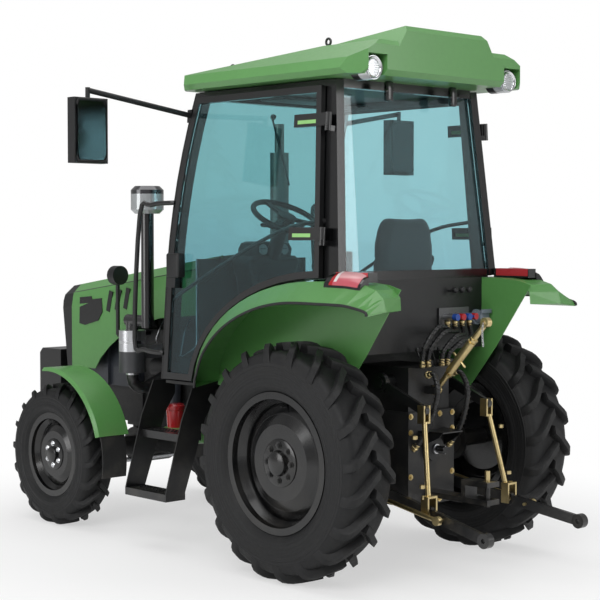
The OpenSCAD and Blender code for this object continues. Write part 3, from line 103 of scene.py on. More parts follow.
def set_camera():
    data = bpy.data.cameras.new("camera")
    data.sensor_width = 36.0
    data.lens = data.sensor_width * FOCAL / PHOTO
    data.shift_x = SHIFT_X / PHOTO
    data.shift_y = SHIFT_Y / PHOTO
    data.clip_end = 200
    yaw, pitch = math.radians(CAMERA_YAW), math.radians(CAMERA_PITCH)
    look = Vector((math.cos(yaw) * math.cos(pitch), math.sin(yaw) * math.cos(pitch), math.sin(pitch)))
    scene.camera = placed("camera", data, at(*CAMERA_EYE), look)


def softbox(name, place, aim, size, watts):
    lamp = bpy.data.lights.new(name, "AREA")
    lamp.shape = "RECTANGLE"
    lamp.size, lamp.size_y = size
    lamp.energy = watts
    placed(name, lamp, place, Vector(aim) - Vector(place))


# --- node trees


class Wire:
    """A node's output. Arithmetic on a wire adds Math nodes to its tree."""

    def __init__(self, tree, socket):
        self.tree = tree
        self.socket = socket

    def out(self, name):
        return Wire(self.tree, self.socket.node.outputs[name])

    def maths(self, operation, a, b=None):
        values = [a] if b is None else [a, b]
        return self.tree.node("ShaderNodeMath", {"operation": operation}, *values)

    def __add__(self, other):
        return self.maths("ADD", self, other)

    def __sub__(self, other):
        return self.maths("SUBTRACT", self, other)

    def __rsub__(self, other):
        return self.maths("SUBTRACT", other, self)

    def __mul__(self, other):
        return self.maths("MULTIPLY", self, other)

    def __truediv__(self, other):
        return self.maths("DIVIDE", self, other)

    def __gt__(self, other):
        return self.maths("GREATER_THAN", self, other)

    __radd__ = __add__
    __rmul__ = __mul__

    def size(self):
        return self.maths("ABSOLUTE", self)

    def sine(self):
        return self.maths("SINE", self)

    def clear(self, low, high):
        """0 below low, 1 above high and smooth between them."""
        return self.tree.node(
            "ShaderNodeMapRange", {"interpolation_type": "SMOOTHSTEP", "clamp": True}, self, low, high, 0.0, 1.0
        )

    def past(self, level, soft=0.001):
        """1 past a level."""
        return self.clear(level - soft, level + soft)

    def within(self, low, high, soft=0.0006):
        """1 between low and high."""
        return self.past(low, soft) * (1 - self.past(high, soft))


class Tree:
    """Nodes made and linked from Python."""

    def __init__(self, tree):
        self.tree = tree

    def node(self, kind, settings, *values, **named):
        made = self.tree.nodes.new(kind)
        for key, value in settings.items():
            setattr(made, key, value)
        for key, value in list(enumerate(values)) + list(named.items()):
            self.feed(made.inputs[key], value)
        return Wire(self, next(o for o in made.outputs if o.enabled))

    def feed(self, socket, value):
        if isinstance(value, Wire):
            self.tree.links.new(value.socket, socket)
        elif hasattr(value, "__len__") and len(value) == 3 and len(socket.default_value) == 4:
            socket.default_value = (*value, 1.0)
        else:
            socket.default_value = value

    def vector(self, x, y, z):
        return self.node("ShaderNodeCombineXYZ", {}, x, y, z)


class Shade(Tree):
    """A material with one Principled shader."""

    def __init__(self, name, rough=0.5, metal=0.0, coat=0.0, **fixed):
        self.material = bpy.data.materials.new(name)
        self.material.use_nodes = True
        super().__init__(self.material.node_tree)
        self.shader = self.tree.nodes["Principled BSDF"]
        self.set(Roughness=rough, Metallic=metal, **{"Coat Weight": coat}, **fixed)
        self.place = None

    def set(self, **inputs):
        for name, value in inputs.items():
            self.feed(self.shader.inputs[name], value)

    def colour(self, value):
        self.feed(self.shader.inputs["Base Color"], value)

    def where(self):
        """Object coordinates: a point of the piece in the frame, in metres."""
        if self.place is None:
            self.place = self.node("ShaderNodeTexCoord", {}).out("Object")
        return self.place

    def axes(self):
        split = self.node("ShaderNodeSeparateXYZ", {}, self.where())
        return split.out("X"), split.out("Y"), split.out("Z")

    def noise(self, scale, detail=3.0, rough=0.5):
        return self.node("ShaderNodeTexNoise", {}, Vector=self.where(), Scale=scale, Detail=detail, Roughness=rough)

    def blend(self, factor, a, b):
        """Colour a where factor is 0 and b where it is 1."""
        mix = self.tree.nodes.new("ShaderNodeMix")
        mix.data_type = "RGBA"
        for name, value in (("Factor_Float", factor), ("A_Color", a), ("B_Color", b)):
            self.feed(next(s for s in mix.inputs if s.identifier == name), value)
        return Wire(self, next(s for s in mix.outputs if s.identifier == "Result_Color"))

    def bump(self, height, depth):
        self.set(Normal=self.node("ShaderNodeBump", {}, Strength=1.0, Distance=depth, Height=height))


class Growth(Tree):
    """Geometry Nodes that turn the points or curves of an object into one mesh of repeated shapes."""

    def __init__(self, name, **sizes):
        super().__init__(bpy.data.node_groups.new(name, "GeometryNodeTree"))
        face = self.tree.interface
        face.new_socket("Geometry", in_out="INPUT", socket_type="NodeSocketGeometry")
        for key, value in sizes.items():
            face.new_socket(key, in_out="INPUT", socket_type="NodeSocketFloat").default_value = value
        face.new_socket("finish", in_out="INPUT", socket_type="NodeSocketMaterial")
        face.new_socket("Geometry", in_out="OUTPUT", socket_type="NodeSocketGeometry")
        start = self.tree.nodes.new("NodeGroupInput")
        self.base = Wire(self, start.outputs["Geometry"])
        self.finish = Wire(self, start.outputs["finish"])
        for key in sizes:
            setattr(self, key, Wire(self, start.outputs[key]))

    def mark(self, name, kind="FLOAT_VECTOR"):
        return self.node("GeometryNodeInputNamedAttribute", {"data_type": kind}, Name=name)

    def facing(self, way):
        return self.node("FunctionNodeAlignRotationToVector", {"axis": "Z"}, Vector=way)

    def lift(self, shape, height, **more):
        return self.node(
            "GeometryNodeTransform", {}, Geometry=shape, Translation=self.vector(0.0, 0.0, height), **more
        )

    def drum(self, sides, radius, depth):
        return self.node("GeometryNodeMeshCylinder", {}, Vertices=sides, Radius=radius, Depth=depth)

    def loop(self, radius, wire, turns=14, sides=6):
        circle = self.node("GeometryNodeCurvePrimitiveCircle", {}, Resolution=turns, Radius=radius)
        section = self.node("GeometryNodeCurvePrimitiveCircle", {}, Resolution=sides, Radius=wire)
        return self.node("GeometryNodeCurveToMesh", {}, circle, section)

    def join(self, *shapes):
        made = self.tree.nodes.new("GeometryNodeJoinGeometry")
        for shape in shapes:
            self.tree.links.new(shape.socket, made.inputs[0])
        return Wire(self, made.outputs[0])

    def end(self, points, shape, turn, scale):
        spread = self.node("GeometryNodeInstanceOnPoints", {}, points, Instance=shape, Rotation=turn, Scale=scale)
        solid = self.node("GeometryNodeRealizeInstances", {}, spread)
        done = self.node("GeometryNodeSetMaterial", {}, solid, Material=self.finish)
        close = self.tree.nodes.new("NodeGroupOutput")
        self.tree.links.new(done.socket, close.inputs[0])
        return self.tree


def bolt_growth():
    """Hexagon head on a washer at each point, along the point's way."""
    g = Growth("bolts", head=0.011, height=0.008, washer=0.016)
    shape = g.join(
        g.lift(g.drum(20, g.washer, 0.004), 0.001),
        g.lift(g.drum(6, g.head, g.height), g.height * 0.5 + 0.002),
        g.lift(g.drum(14, g.head * 0.55, g.height * 0.6), g.height * 1.25),
    )
    return g.end(g.base, shape, g.facing(g.mark("way")), g.mark("size", "FLOAT"))


def rivet_growth():
    """Low domed head at each point."""
    g = Growth("rivets", radius=0.006)
    ball = g.node("GeometryNodeMeshUVSphere", {}, Segments=14, Rings=7, Radius=g.radius)
    flat = g.lift(ball, 0.0, Scale=(1.0, 1.0, 0.55))
    return g.end(g.base, flat, g.facing(g.mark("way")), g.mark("size", "FLOAT"))


def wrap_growth():
    """Slanted rings along a curve, as a spiral guard lies round a hose."""
    g = Growth("spiral_guard", radius=0.0108, wire=0.0026, pitch=0.009)
    path = g.node("GeometryNodeResampleCurve", {"mode": "LENGTH"}, g.base, Length=g.pitch)
    along = g.facing(g.node("GeometryNodeInputTangent", {}))
    slant = g.node("FunctionNodeRotateRotation", {"rotation_space": "LOCAL"}, along, (0.42, 0.0, 0.0))
    return g.end(path, g.loop(g.radius, g.wire), slant, (1.0, 1.0, 1.0))


def rib_growth():
    """Straight rib at each point, standing along the point's way and lying along its run."""
    g = Growth("ribs", length=0.1, width=0.008, height=0.006)
    bar = g.node("GeometryNodeMeshCube", {}, Size=g.vector(g.length, g.width, g.height))
    stand = g.facing(g.mark("way"))
    turn = g.node("FunctionNodeAlignRotationToVector", {"axis": "X", "pivot_axis": "Z"}, stand, Vector=g.mark("run"))
    return g.end(g.base, bar, turn, g.mark("size", "FLOAT"))


def link_growth():
    """Chain link at each point, with its length along the point's way and every other one turned."""
    g = Growth("chain", radius=0.0075, wire=0.0019)
    ring = g.loop(g.radius, g.wire, 16, 6)
    oval = g.lift(ring, 0.0, Rotation=(QUARTER, 0.0, 0.0), Scale=(0.62, 1.0, 1.0))
    odd = g.node("FunctionNodeRotateRotation", {"rotation_space": "LOCAL"}, g.facing(g.mark("way")), g.mark("spin"))
    return g.end(g.base, oval, odd, (1.0, 1.0, 1.0))


# --- finishes

DUST = (0.20, 0.18, 0.15)


def dust(shade, top, amount=1.0):
    """Where dust lies: more of it towards the ground, in soft patches."""
    return (1 - shade.axes()[2].clear(0.0, top)) * shade.noise(7.0, 6.0, 0.62).clear(0.42, 0.72) * amount


def dressed(name, base, coat, dusty, spread, grain, parts):
    """A finish of (colour, roughness, metal) with other finishes in the places that parts give."""
    shade = Shade(name, coat=coat, **{"Coat Roughness": 0.16})
    x, y, z = shade.axes()
    colour, rough, metal = base
    for place, (other, other_rough, other_metal) in parts:
        mask = place(x, y, z)
        colour = shade.blend(mask, colour, other)
        rough = (1 - mask) * rough + mask * other_rough
        metal = (1 - mask) * metal + mask * other_metal
    level = shade.noise(2.3, 5.0, 0.6) * 0.5 + shade.noise(38.0, 4.0) * 0.5
    lit = shade.node("ShaderNodeVectorMath", {"operation": "SCALE"}, colour, Scale=level * 2 * spread + (1 - spread))
    dirt = dust(shade, 1.1, dusty)
    shade.colour(shade.blend(dirt, lit, DUST))
    shade.set(Roughness=shade.noise(34.0, 4.0) * 0.12 + rough + dirt * 0.3 - 0.06, Metallic=metal)
    shade.bump(shade.noise(grain[0], 3.0, 0.6), grain[1])
    return shade.material


def tyre(name, axle_x, axle_z, outer, rim):
    """Rubber with moulded sidewall rings about the axle, grey wear on the lug faces and dust in the tread."""
    shade = Shade(name, rough=0.72, **{"Specular IOR Level": 0.35})
    x, y, z = shade.axes()
    arm = shade.vector(x - axle_x, 0.0, z - axle_z)
    away = shade.node("ShaderNodeVectorMath", {"operation": "LENGTH"}, arm)
    side = 1 - away.clear(outer * 0.84, outer * 0.87)
    rings = ((away * 420.0).sine() * 0.5 + 0.5) * side * away.clear(rim * 1.08, rim * 1.12)
    bars = away.within(rim * 1.34, rim * 1.42, 0.001) * side
    worn = away.clear(outer * 0.965, outer * 0.99) * shade.noise(26.0, 6.0, 0.6).clear(0.25, 0.7)
    soil = shade.noise(11.0, 7.0, 0.66).clear(0.46, 0.74)
    black = shade.blend(shade.noise(60.0, 4.0), (0.0060, 0.0062, 0.0068), (0.011, 0.0113, 0.012))
    soiled = shade.blend(soil * 0.14, black, (0.06, 0.058, 0.054))
    shade.colour(shade.blend(worn * 0.22, soiled, (0.06, 0.06, 0.059)))
    shade.set(Roughness=shade.noise(48.0, 5.0) * 0.24 + 0.44 + soil * 0.14)
    shade.bump(rings * 0.35 + bars * 0.8 + shade.noise(190.0, 4.0) * 0.25, 0.0022)
    return shade.material


# Glass whose colour holds painted shade: darker towards the bottom, where the dark cab lies behind it, and lighter
# towards the top.
def tinted_glass(name, low, high):
    shade = Shade(name, rough=0.0, **{"Transmission Weight": 1.0, "IOR": 1.45})
    film = shade.noise(3.0, 5.0, 0.6).clear(0.45, 0.85)
    # painted shade: the low colour at the bottom, the high colour at the top
    body = shade.blend(shade.axes()[2].clear(0.9, 2.1), low, high)
    shade.colour(shade.blend(film * 0.2, body, low))
    return shade.material


def cloth_cover():
    """Woven seat cloth: crossed threads with worn patches."""
    shade = Shade("seat_cover", rough=0.86, **{"Sheen Weight": 0.25})
    x, y, z = shade.axes()
    threads = ((x + z) * 2100.0).sine() * ((y + z) * 2100.0).sine()
    worn = shade.noise(12.0, 5.0, 0.6).clear(0.4, 0.75)
    dark = shade.blend(threads * 0.5 + 0.5, (0.012, 0.012, 0.013), (0.036, 0.037, 0.039))
    shade.colour(shade.blend(worn * 0.4, dark, (0.045, 0.045, 0.046)))
    shade.set(Roughness=worn * 0.1 + 0.78)
    shade.bump(threads * 0.4 + shade.noise(260.0, 3.0) * 0.6, 0.0008)
    return shade.material


def hood_line(x, y, z):
    """The shut line along the hood's side."""
    fall = z + (x + (MID_X - 1.112)) * (180 / 1336) - 1.572
    return fall.within(-0.0785, -0.0735) * y.size().clear(0.27, 0.28)


def door_hinges(x, y, z):
    return x.within(-0.9515, -0.8235) * (z.within(2.2155, 2.2335) + z.within(1.666, 1.684))


def head_lamps(x, y, z):
    return x.past(1.586, 0.0002) * y.size().within(0.093, 0.243) * z.within(1.215, 1.289)


def drawbar_pin(x, y, z):
    return z.past(0.486, 0.0005) * (1 - x.past(-1.533)) * y.size().within(-0.02, 0.016)


def tail_lamp(x, y, z):
    return x.within(-1.345, -1.135, 0.001) * z.past(1.464, 0.0005)


def cap_of(order):
    """Every other coupler's cap: the first for order 1, the second for -1."""
    pitch = 0.056
    return lambda x, y, z: (1 - x.past(-1.178)) * (((y + 0.250) * (order * math.pi / pitch)).sine() > 0.0)


# colour, roughness, metal
GREEN = ((0.100, 0.290, 0.078), 0.36, 0.0)
BLACK = ((0.0065, 0.0068, 0.0074), 0.36, 0.0)
GLOSS = ((0.004, 0.0042, 0.0047), 0.20, 0.0)
PLASTIC = ((0.007, 0.0073, 0.0080), 0.48, 0.0)
STEEL = ((0.60, 0.61, 0.63), 0.30, 1.0)
CHROME = ((0.78, 0.79, 0.81), 0.12, 1.0)
GOLD = ((0.66, 0.53, 0.27), 0.34, 1.0)
LENS = ((0.72, 0.74, 0.76), 0.10, 0.35)
RED = ((0.40, 0.014, 0.018), 0.22, 0.0)
BLUE = ((0.014, 0.06, 0.30), 0.3, 0.0)
HINGE_GREEN = ((0.30, 0.62, 0.20), 0.4, 0.0)

FINE, MOULDED, PLATED, LENSED = (420.0, 0.00012), (900.0, 0.0002), (700.0, 0.00015), (240.0, 0.0005)
LOOKS = {  # base, coat, dust, spread of the tone, grain's scale and depth
    "green_paint": (GREEN, 0.3, 0.24, 0.10, FINE),
    "hood_paint": (GREEN, 0.3, 0.1, 0.10, FINE),
    "black_paint": (BLACK, 0.3, 0.14, 0.2, FINE),
    "frame_black": (GLOSS, 0.5, 0.08, 0.2, FINE),
    "rim_black": (GLOSS, 0.25, 0.10, 0.2, FINE),
    "door_black": (BLACK, 0.5, 0.08, 0.16, FINE),
    "cooler_black": (((0.03, 0.035, 0.045), 0.42, 0.0), 0.2, 0.15, 0.16, FINE),
    "cast_black": (((0.009, 0.0093, 0.0100), 0.5, 0.0), 0.1, 0.22, 0.4, (160.0, 0.0011)),
    "trim_black": (PLASTIC, 0.0, 0.1, 0.25, MOULDED),
    "nose_black": (PLASTIC, 0.2, 0.1, 0.16, MOULDED),
    "rubber": (((0.013, 0.013, 0.0135), 0.62, 0.0), 0.0, 0.2, 0.3, (300.0, 0.0004)),
    "hose": (((0.010, 0.010, 0.011), 0.42, 0.0), 0.15, 0.2, 0.3, (600.0, 0.0002)),
    "zinc": (GOLD, 0.0, 0.1, 0.45, PLATED),
    "hitch_pin": (BLACK, 0.2, 0.3, 0.16, FINE),
    "bright_steel": (STEEL, 0.0, 0.12, 0.25, PLATED),
    "chrome": (CHROME, 0.0, 0.05, 0.12, (900.0, 0.00005)),
    "heated_steel": (((0.20, 0.17, 0.15), 0.36, 0.9), 0.0, 0.2, 0.6, (260.0, 0.0003)),
    "coupler_caps": (BLACK, 0.2, 0.1, 0.16, FINE),
    "stack": (GLOSS, 0.8, 0.05, 0.16, FINE),
    "cleaner": (((0.05, 0.052, 0.056), 0.45, 0.3), 0.1, 0.15, 0.16, FINE),
    "lamp": (BLACK, 0.3, 0.05, 0.16, FINE),
    "signal_red": (BLACK, 0.6, 0.05, 0.16, LENSED),
    "tail_lens": (((0.55, 0.10, 0.13), 0.14, 0.0), 0.5, 0.0, 0.16, LENSED),
    "signal_cup": (RED, 0.4, 0.1, 0.16, FINE),
    "lamp_glass": (LENS, 0.4, 0.0, 0.16, FINE),
    "mirror_face": (((0.07, 0.074, 0.078), 0.05, 1.0), 0.0, 0.0, 0.1, FINE),
    "socket_grey": (((0.16, 0.19, 0.23), 0.45, 0.0), 0.1, 0.2, 0.16, FINE),
    "gauge": (((0.30, 0.33, 0.34), 0.15, 0.0), 0.5, 0.0, 0.16, FINE),
}
PARTS = {  # finish: other finishes in places of it
    "hood_paint": [(hood_line, BLACK)],
    "door_black": [(door_hinges, HINGE_GREEN)],
    "nose_black": [(head_lamps, LENS)],
    "hitch_pin": [(drawbar_pin, GOLD)],
    "coupler_caps": [(lambda x, y, z: 1 - x.past(-1.115), STEEL), (cap_of(1), RED), (cap_of(-1), BLUE)],
    "stack": [
        (lambda x, y, z: z.past(1.795), ((0.42, 0.44, 0.45), 0.08, 0.25)),
        (lambda x, y, z: z.past(1.905), ((0.05, 0.05, 0.055), 0.2, 0.6)),
    ],
    "cleaner": [
        (lambda x, y, z: z.past(1.015), STEEL),
        (lambda x, y, z: z.within(1.06, 1.078) + z.within(1.20, 1.218), CHROME),
    ],
    "lamp": [(lambda x, y, z: 1 - x.past(-1.201, 0.002), LENS)],
    "signal_red": [(tail_lamp, ((0.52, 0.035, 0.045), 0.16, 0.0))],
    "tail_lens": [
        # painted highlight: the paler pink top of the lens, where light falls on it
        (lambda x, y, z: z.past(1.476, 0.006), ((0.70, 0.36, 0.38), 0.14, 0.0)),
        (lambda x, y, z: x.past(-1.1735, 0.0015), ((0.42, 0.010, 0.016), 0.16, 0.0)),
        (lambda x, y, z: x.within(-1.196, -1.176) * z.past(1.459), ((0.78, 0.74, 0.74), 0.2, 0.0)),
    ],
}
finishes = {name: dressed(name, *look, PARTS.get(name, ())) for name, look in LOOKS.items()}
finishes["seat_cover"] = cloth_cover()
# Two copies of one glass with painted light and shade: the windshield and door glass darker, for the shaded cab behind
# them, and the rear window lighter, for the white backdrop seen through it.
finishes["tinted_glass"] = tinted_glass("tinted_glass", (0.34, 0.54, 0.60), (0.42, 0.66, 0.68))
finishes["rear_glass"] = tinted_glass("rear_glass", (0.58, 0.80, 0.86), (0.66, 0.86, 0.90))
finishes["rear_tyre"] = tyre("rear_tyre", -MID_X, 0.580, 0.580, 0.330)
finishes["front_tyre"] = tyre("front_tyre", 2.0 - MID_X, 0.407, 0.407, 0.230)

WORN_BY = {  # finish: CAD nodes, without their side; the tyres wear a finish of their own name
    "green_paint": "roof fender front_fender",
    "hood_paint": "hood",
    "black_paint": "front_weight steps grab_rails lifting_eyes lower_links lift_arms",
    "frame_black": "cab_frame",
    "stack": "intake_stack",
    "door_black": "door",
    "cooler_black": "radiator",
    "hitch_pin": "drawbar",
    "cast_black": "front_frame engine gearbox rear_axle front_axle lift_housing knuckle",
    "trim_black": "cab_floor dashboard side_lamps mirrors steering_wheel",
    "nose_black": "hood_nose",
    "rubber": "mud_flap",
    "rim_black": "front_rim rear_rim",
    # the darker glass, whose colour holds painted shade
    "tinted_glass": "windshield door_glass",
    "rear_glass": "rear_window",
    "zinc": "stabilisers lift_rods top_link",
    "bright_steel": "tie_rod",
    "cleaner": "air_cleaner",
    "heated_steel": "exhaust",
    "coupler_caps": "couplers",
    "signal_red": "tail_lamps",
    "lamp": "work_lamps",
    "seat_cover": "seat",
}
finish_of = {stem: finish for finish, stems in WORN_BY.items() for stem in stems.split()}
for name, body in cad.items():
    stem = name.removesuffix("_left").removesuffix("_right")
    body.data.materials.clear()
    body.data.materials.append(finishes[finish_of.get(stem, stem)])


# --- shapes


class Piece:
    """Closed shapes, given in millimetres, gathered into one mesh."""

    def __init__(self, name, finish):
        self.name, self.finish = name, finish
        self.mesh = bmesh.new()

    def loft(self, rings, loop=False):
        """Skin over rings of points; the end rings are closed by faces, or joined to each other."""
        rows = [[self.mesh.verts.new(at(*p)) for p in ring] for ring in rings]
        count = len(rows[0])
        for a, b in zip(rows, rows[1:] + rows[:1] if loop else rows[1:]):
            for k in range(count):
                j = (k + 1) % count
                self.mesh.faces.new((a[k], a[j], b[j], b[k]))
        if not loop:
            self.mesh.faces.new(rows[0])
            self.mesh.faces.new(rows[-1])

    def turned(self, base, way, profile, steps=28, loop=False):
        """Profile of (distance along way, radius) turned about the line through base."""
        way = Vector(way).normalized()
        side = way.orthogonal().normalized()
        up = way.cross(side)
        spokes = [side * math.cos(t) + up * math.sin(t) for t in turns(steps)]
        self.loft([[Vector(base) + way * s + spoke * max(r, 0.05) for spoke in spokes] for s, r in profile], loop)

    def rod(self, a, b, radius, steps=14):
        run = Vector(b) - Vector(a)
        edge = min(radius * 0.3, run.length * 0.2)
        ends = [(0, radius - edge), (edge, radius), (run.length - edge, radius), (run.length, radius - edge)]
        self.turned(a, run, ends, steps)

    def tube(self, path, radius, sides=10):
        """Round bar along a smoothed path."""
        path = smooth(path)
        up = Vector(UP)
        rings = []
        for i, p in enumerate(path):
            run = (path[min(i + 1, len(path) - 1)] - path[max(i - 1, 0)]).normalized()
            side = run.cross(up) if abs(run.dot(up)) < 0.95 else run.orthogonal()
            if rings and side.dot(last) < 0:
                side = -side
            last = side.normalized()
            rise = last.cross(run)
            rings.append([p + (last * math.cos(t) + rise * math.sin(t)) * radius for t in turns(sides)])
        self.loft(rings)

    def hoop(self, path, radius, sides=8):
        """Round bead along a closed path."""
        path = [Vector(p) for p in path]
        up = Vector(UP)
        rings = []
        for i, p in enumerate(path):
            run = (path[(i + 1) % len(path)] - path[i - 1]).normalized()
            rise = run.cross(up).normalized()
            rings.append([p + (up * math.cos(t) + rise * math.sin(t)) * radius for t in turns(sides)])
        self.loft(rings, True)

    def slab(self, x0, x1, y0, y1, corner, levels):
        """Upright form with round corners, from levels of (height, inset)."""
        y0, y1 = sorted((y0, y1))
        self.loft([round_box(x0 + d, x1 - d, y0 + d, y1 - d, z, corner) for z, d in levels])

    def block(self, low, high, edge=4, turn=None):
        """Box with rounded edges, turned about its middle."""
        low, high = Vector(low), Vector(high)
        middle = (low + high) / 2
        made = bmesh.ops.create_cube(self.mesh, size=1.0)["verts"]
        for vert in made:
            p = Vector(vert.co[i] * abs(high[i] - low[i]) for i in range(3))
            vert.co = p if turn is None else turn @ p
        edges = list({e for v in made for e in v.link_edges})
        done = bmesh.ops.bevel(self.mesh, geom=edges, offset=edge, segments=3, profile=0.5, affect="EDGES")
        for vert in {v for f in done["faces"] for v in f.verts} | {v for v in made if v.is_valid}:
            vert.co = at(*(vert.co + middle))

    def skinned(self, name):
        """The gathered shapes as a mesh."""
        bmesh.ops.recalc_face_normals(self.mesh, faces=self.mesh.faces)
        mesh = bpy.data.meshes.new(name)
        self.mesh.to_mesh(mesh)
        self.mesh.free()
        return mesh

    def done(self, body="chassis", replaces=None, sharp=38):
        bmesh.ops.remove_doubles(self.mesh, verts=self.mesh.verts, dist=1e-5)
        settle(self.name, self.skinned(self.name), self.finish, body, replaces, sharp)


def build(name, finish, body="chassis", replaces=None, **shapes):
    """A piece from rows of arguments for each kind of shape."""
    piece = Piece(name, finish)
    for kind, rows in shapes.items():
        for row in rows:
            getattr(piece, kind)(*row)
    piece.done(body, replaces)


def smooth(path, steps=5):
    """Catmull-Rom curve through the path's points."""
    p = [Vector(q) for q in path]
    if len(p) < 3:
        return p
    p = [p[0]] + p + [p[-1]]
    curve = []
    for a, b, c, d in zip(p, p[1:], p[2:], p[3:]):
        for k in range(steps):
            t = k / steps
            bend = (2 * a - 5 * b + 4 * c - d) * t**2 + (3 * b - a - 3 * c + d) * t**3
            curve.append(0.5 * (2 * b + (c - a) * t + bend))
    return curve + [p[-1]]


def settle(name, mesh, finish, body, replaces=None, sharp=38):
    """Give a mesh its finish, edges and body."""
    mesh.materials.clear()
    mesh.materials.append(finishes[finish])
    mesh.shade_smooth()
    mesh.set_sharp_from_angle(angle=math.radians(sharp))
    piece = placed(name, mesh)
    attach(piece, body)
    if replaces:
        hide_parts(replaces)
    return piece


def frozen(source):
    """Mesh of an object with its modifiers applied."""
    return bpy.data.meshes.new_from_object(source.evaluated_get(bpy.context.evaluated_depsgraph_get()))


def grow(name, tree, finish, body, points, marks=None, lines=(), faces=(), **sizes):
    """Run a growth on points, lines or faces in metres and keep the plain mesh that it gives."""
    mesh = bpy.data.meshes.new(name + "_seed")
    mesh.from_pydata([tuple(p) for p in points], lines, faces)
    for key, values in (marks or {}).items():
        kind, field = ("FLOAT_VECTOR", "vector") if hasattr(values[0], "__len__") else ("FLOAT", "value")
        for row, value in zip(mesh.attributes.new(key, kind, "POINT").data, values):
            setattr(row, field, value)
    seed = placed(name + "_seed", mesh)
    modifier = seed.modifiers.new("growth", "NODES")
    modifier.node_group = tree
    given = {**sizes, "finish": finishes[finish]}
    for item in tree.interface.items_tree:
        if item.in_out == "INPUT" and item.name in given:
            modifier[item.identifier] = given[item.name]
    seed.update_tag()
    grown = frozen(seed)
    grown.name = name
    bpy.data.objects.remove(seed)
    bpy.data.meshes.remove(mesh)
    settle(name, grown, finish, body, None, 30)


BOLTS, RIVETS, WRAP, RIBS, LINKS = bolt_growth(), rivet_growth(), wrap_growth(), rib_growth(), link_growth()


def bolts(name, finish, body, spots, tree=BOLTS, **sizes):
    """Bolts at (place in millimetres, way, size)."""
    places = [at(*p) for p, way, size in spots]
    marks = {"way": [way for p, way, size in spots], "size": [size for p, way, size in spots]}
    grow(name, tree, finish, body, places, marks, **sizes)


def ribs(name, finish, body, spots, **sizes):
    """Ribs at (place in millimetres, way they stand, way they run)."""
    places = [at(*p) for p, way, run in spots]
    marks = {"way": [w for p, w, run in spots], "run": [run for p, w, run in spots], "size": [1.0] * len(spots)}
    grow(name, RIBS, finish, body, places, marks, **sizes)


def round_box(x0, x1, y0, y1, z, corner, steps=5):
    """Level ring with round corners."""
    x0, x1, y0, y1 = x0 + corner, x1 - corner, y0 + corner, y1 - corner
    ring = []
    for quarter, (cx, cy) in enumerate(((x1, y1), (x0, y1), (x0, y0), (x1, y0))):
        for k in range(steps):
            t = math.radians(90 * quarter + 90 * k / (steps - 1))
            ring.append((cx + corner * math.cos(t), cy + corner * math.sin(t), z))
    return ring


# --- wheels


def ring_growth():
    """Copies of the base shape turned about an axle along Y."""
    g = Growth("lug_ring", count=20.0, x=0.0, y=0.0, z=0.0)
    still = {"Start Location": g.vector(g.x, g.y, g.z), "Offset": (0.0, 0.0, 0.0)}
    line = g.node("GeometryNodeMeshLine", {}, Count=g.count, **still)
    step = g.node("GeometryNodeInputIndex", {}) * (4 * QUARTER) / g.count
    return g.end(line, g.base, g.vector(0.0, step, 0.0), (1.0, 1.0, 1.0))


RING = ring_growth()
LUG_TURN = 15.0  # degrees from a lug's nose to its shoulder
LUG = (  # share of half the width, share of the turn, drop of the top and of the root in lug heights
    (-0.08, 0.0, 0.0, 0.0), (0.2, 0.22, 0.0, 0.0), (0.42, 0.46, 0.0, 0.02), (0.62, 0.66, 0.02, 0.06),
    (0.76, 0.78, 0.18, 0.25), (0.88, 0.87, 0.55, 0.7), (0.955, 0.93, 1.1, 1.25), (0.985, 0.97, 1.75, 1.9),
)
FLANK = (  # share of the tyre's wall, share of half its width
    (0.05, 0.86), (0.12, 0.95), (0.2, 0.975), (0.22, 0.99), (0.25, 0.99), (0.27, 0.978),
    (0.42, 0.99), (0.55, 0.985), (0.57, 0.995), (0.6, 0.995), (0.62, 0.975),
)


def lug_pair(r, half_w, height, thick, count):
    """One bar lug for each half of the tread, about the frame's origin: the nose leads and the shoulder trails."""
    lugs = Piece("lugs", None)
    for side, lead in ((1, 0.0), (-1, math.pi / count)):
        rings = []
        for share, along, drop, sink in LUG:
            middle, half = lead - math.radians(LUG_TURN) * along, thick / 2 / r
            top, root = r - drop * height, r - height * (1.0 + sink) - 6
            edge = top - 0.14 * height
            section = ((root, -1.5), (edge, -1.0), (top, -0.86), (top, 0.86), (edge, 1.0), (root, 1.5))
            spots = [(q, middle + half * angle) for q, angle in section]
            rings.append([(MID_X * 1000 + q * math.sin(t), side * share * half_w, q * math.cos(t)) for q, t in spots])
        lugs.loft(rings)
    mesh = lugs.skinned("lugs")
    points, faces = [v.co.copy() for v in mesh.vertices], [tuple(p.vertices) for p in mesh.polygons]
    bpy.data.meshes.remove(mesh)
    return points, faces


def wheel(end, side, sign, x, y, r, w, rim_r, height, thick, count):
    """Carcass with its flank beads in the place of the plain tyre, and its ring of bar lugs."""
    body, finish = f"{end}_wheel_{side}", f"{end}_tyre"
    wall, half, root = r - rim_r, w / 2, r - height
    flank = [(rim_r - 25, 0.62), (rim_r - 24, 0.77), (rim_r + 1, 0.785)]
    flank += [(rim_r + share * wall, spread) for share, spread in FLANK]
    flank += [(root - 0.1 * wall, 0.93), (root - 0.035 * wall, 0.84), (root, 0.68), (root + 1, 0.3)]
    profile = [(s * half, q) for q, s in flank] + [(-s * half, q) for q, s in reversed(flank)]
    carcass = Piece(f"{end}_{side}_carcass", finish)
    carcass.turned((x, sign * y, r), LEFT, profile, 96, True)
    carcass.done(body, f"{end}_tyre_{side}", 32)
    points, faces = lug_pair(r, half, height, thick, count)
    axle = dict(zip("xyz", at(x, sign * y, r)))
    grow(f"{end}_{side}_lugs", RING, finish, body, points, faces=faces, count=float(count), **axle)


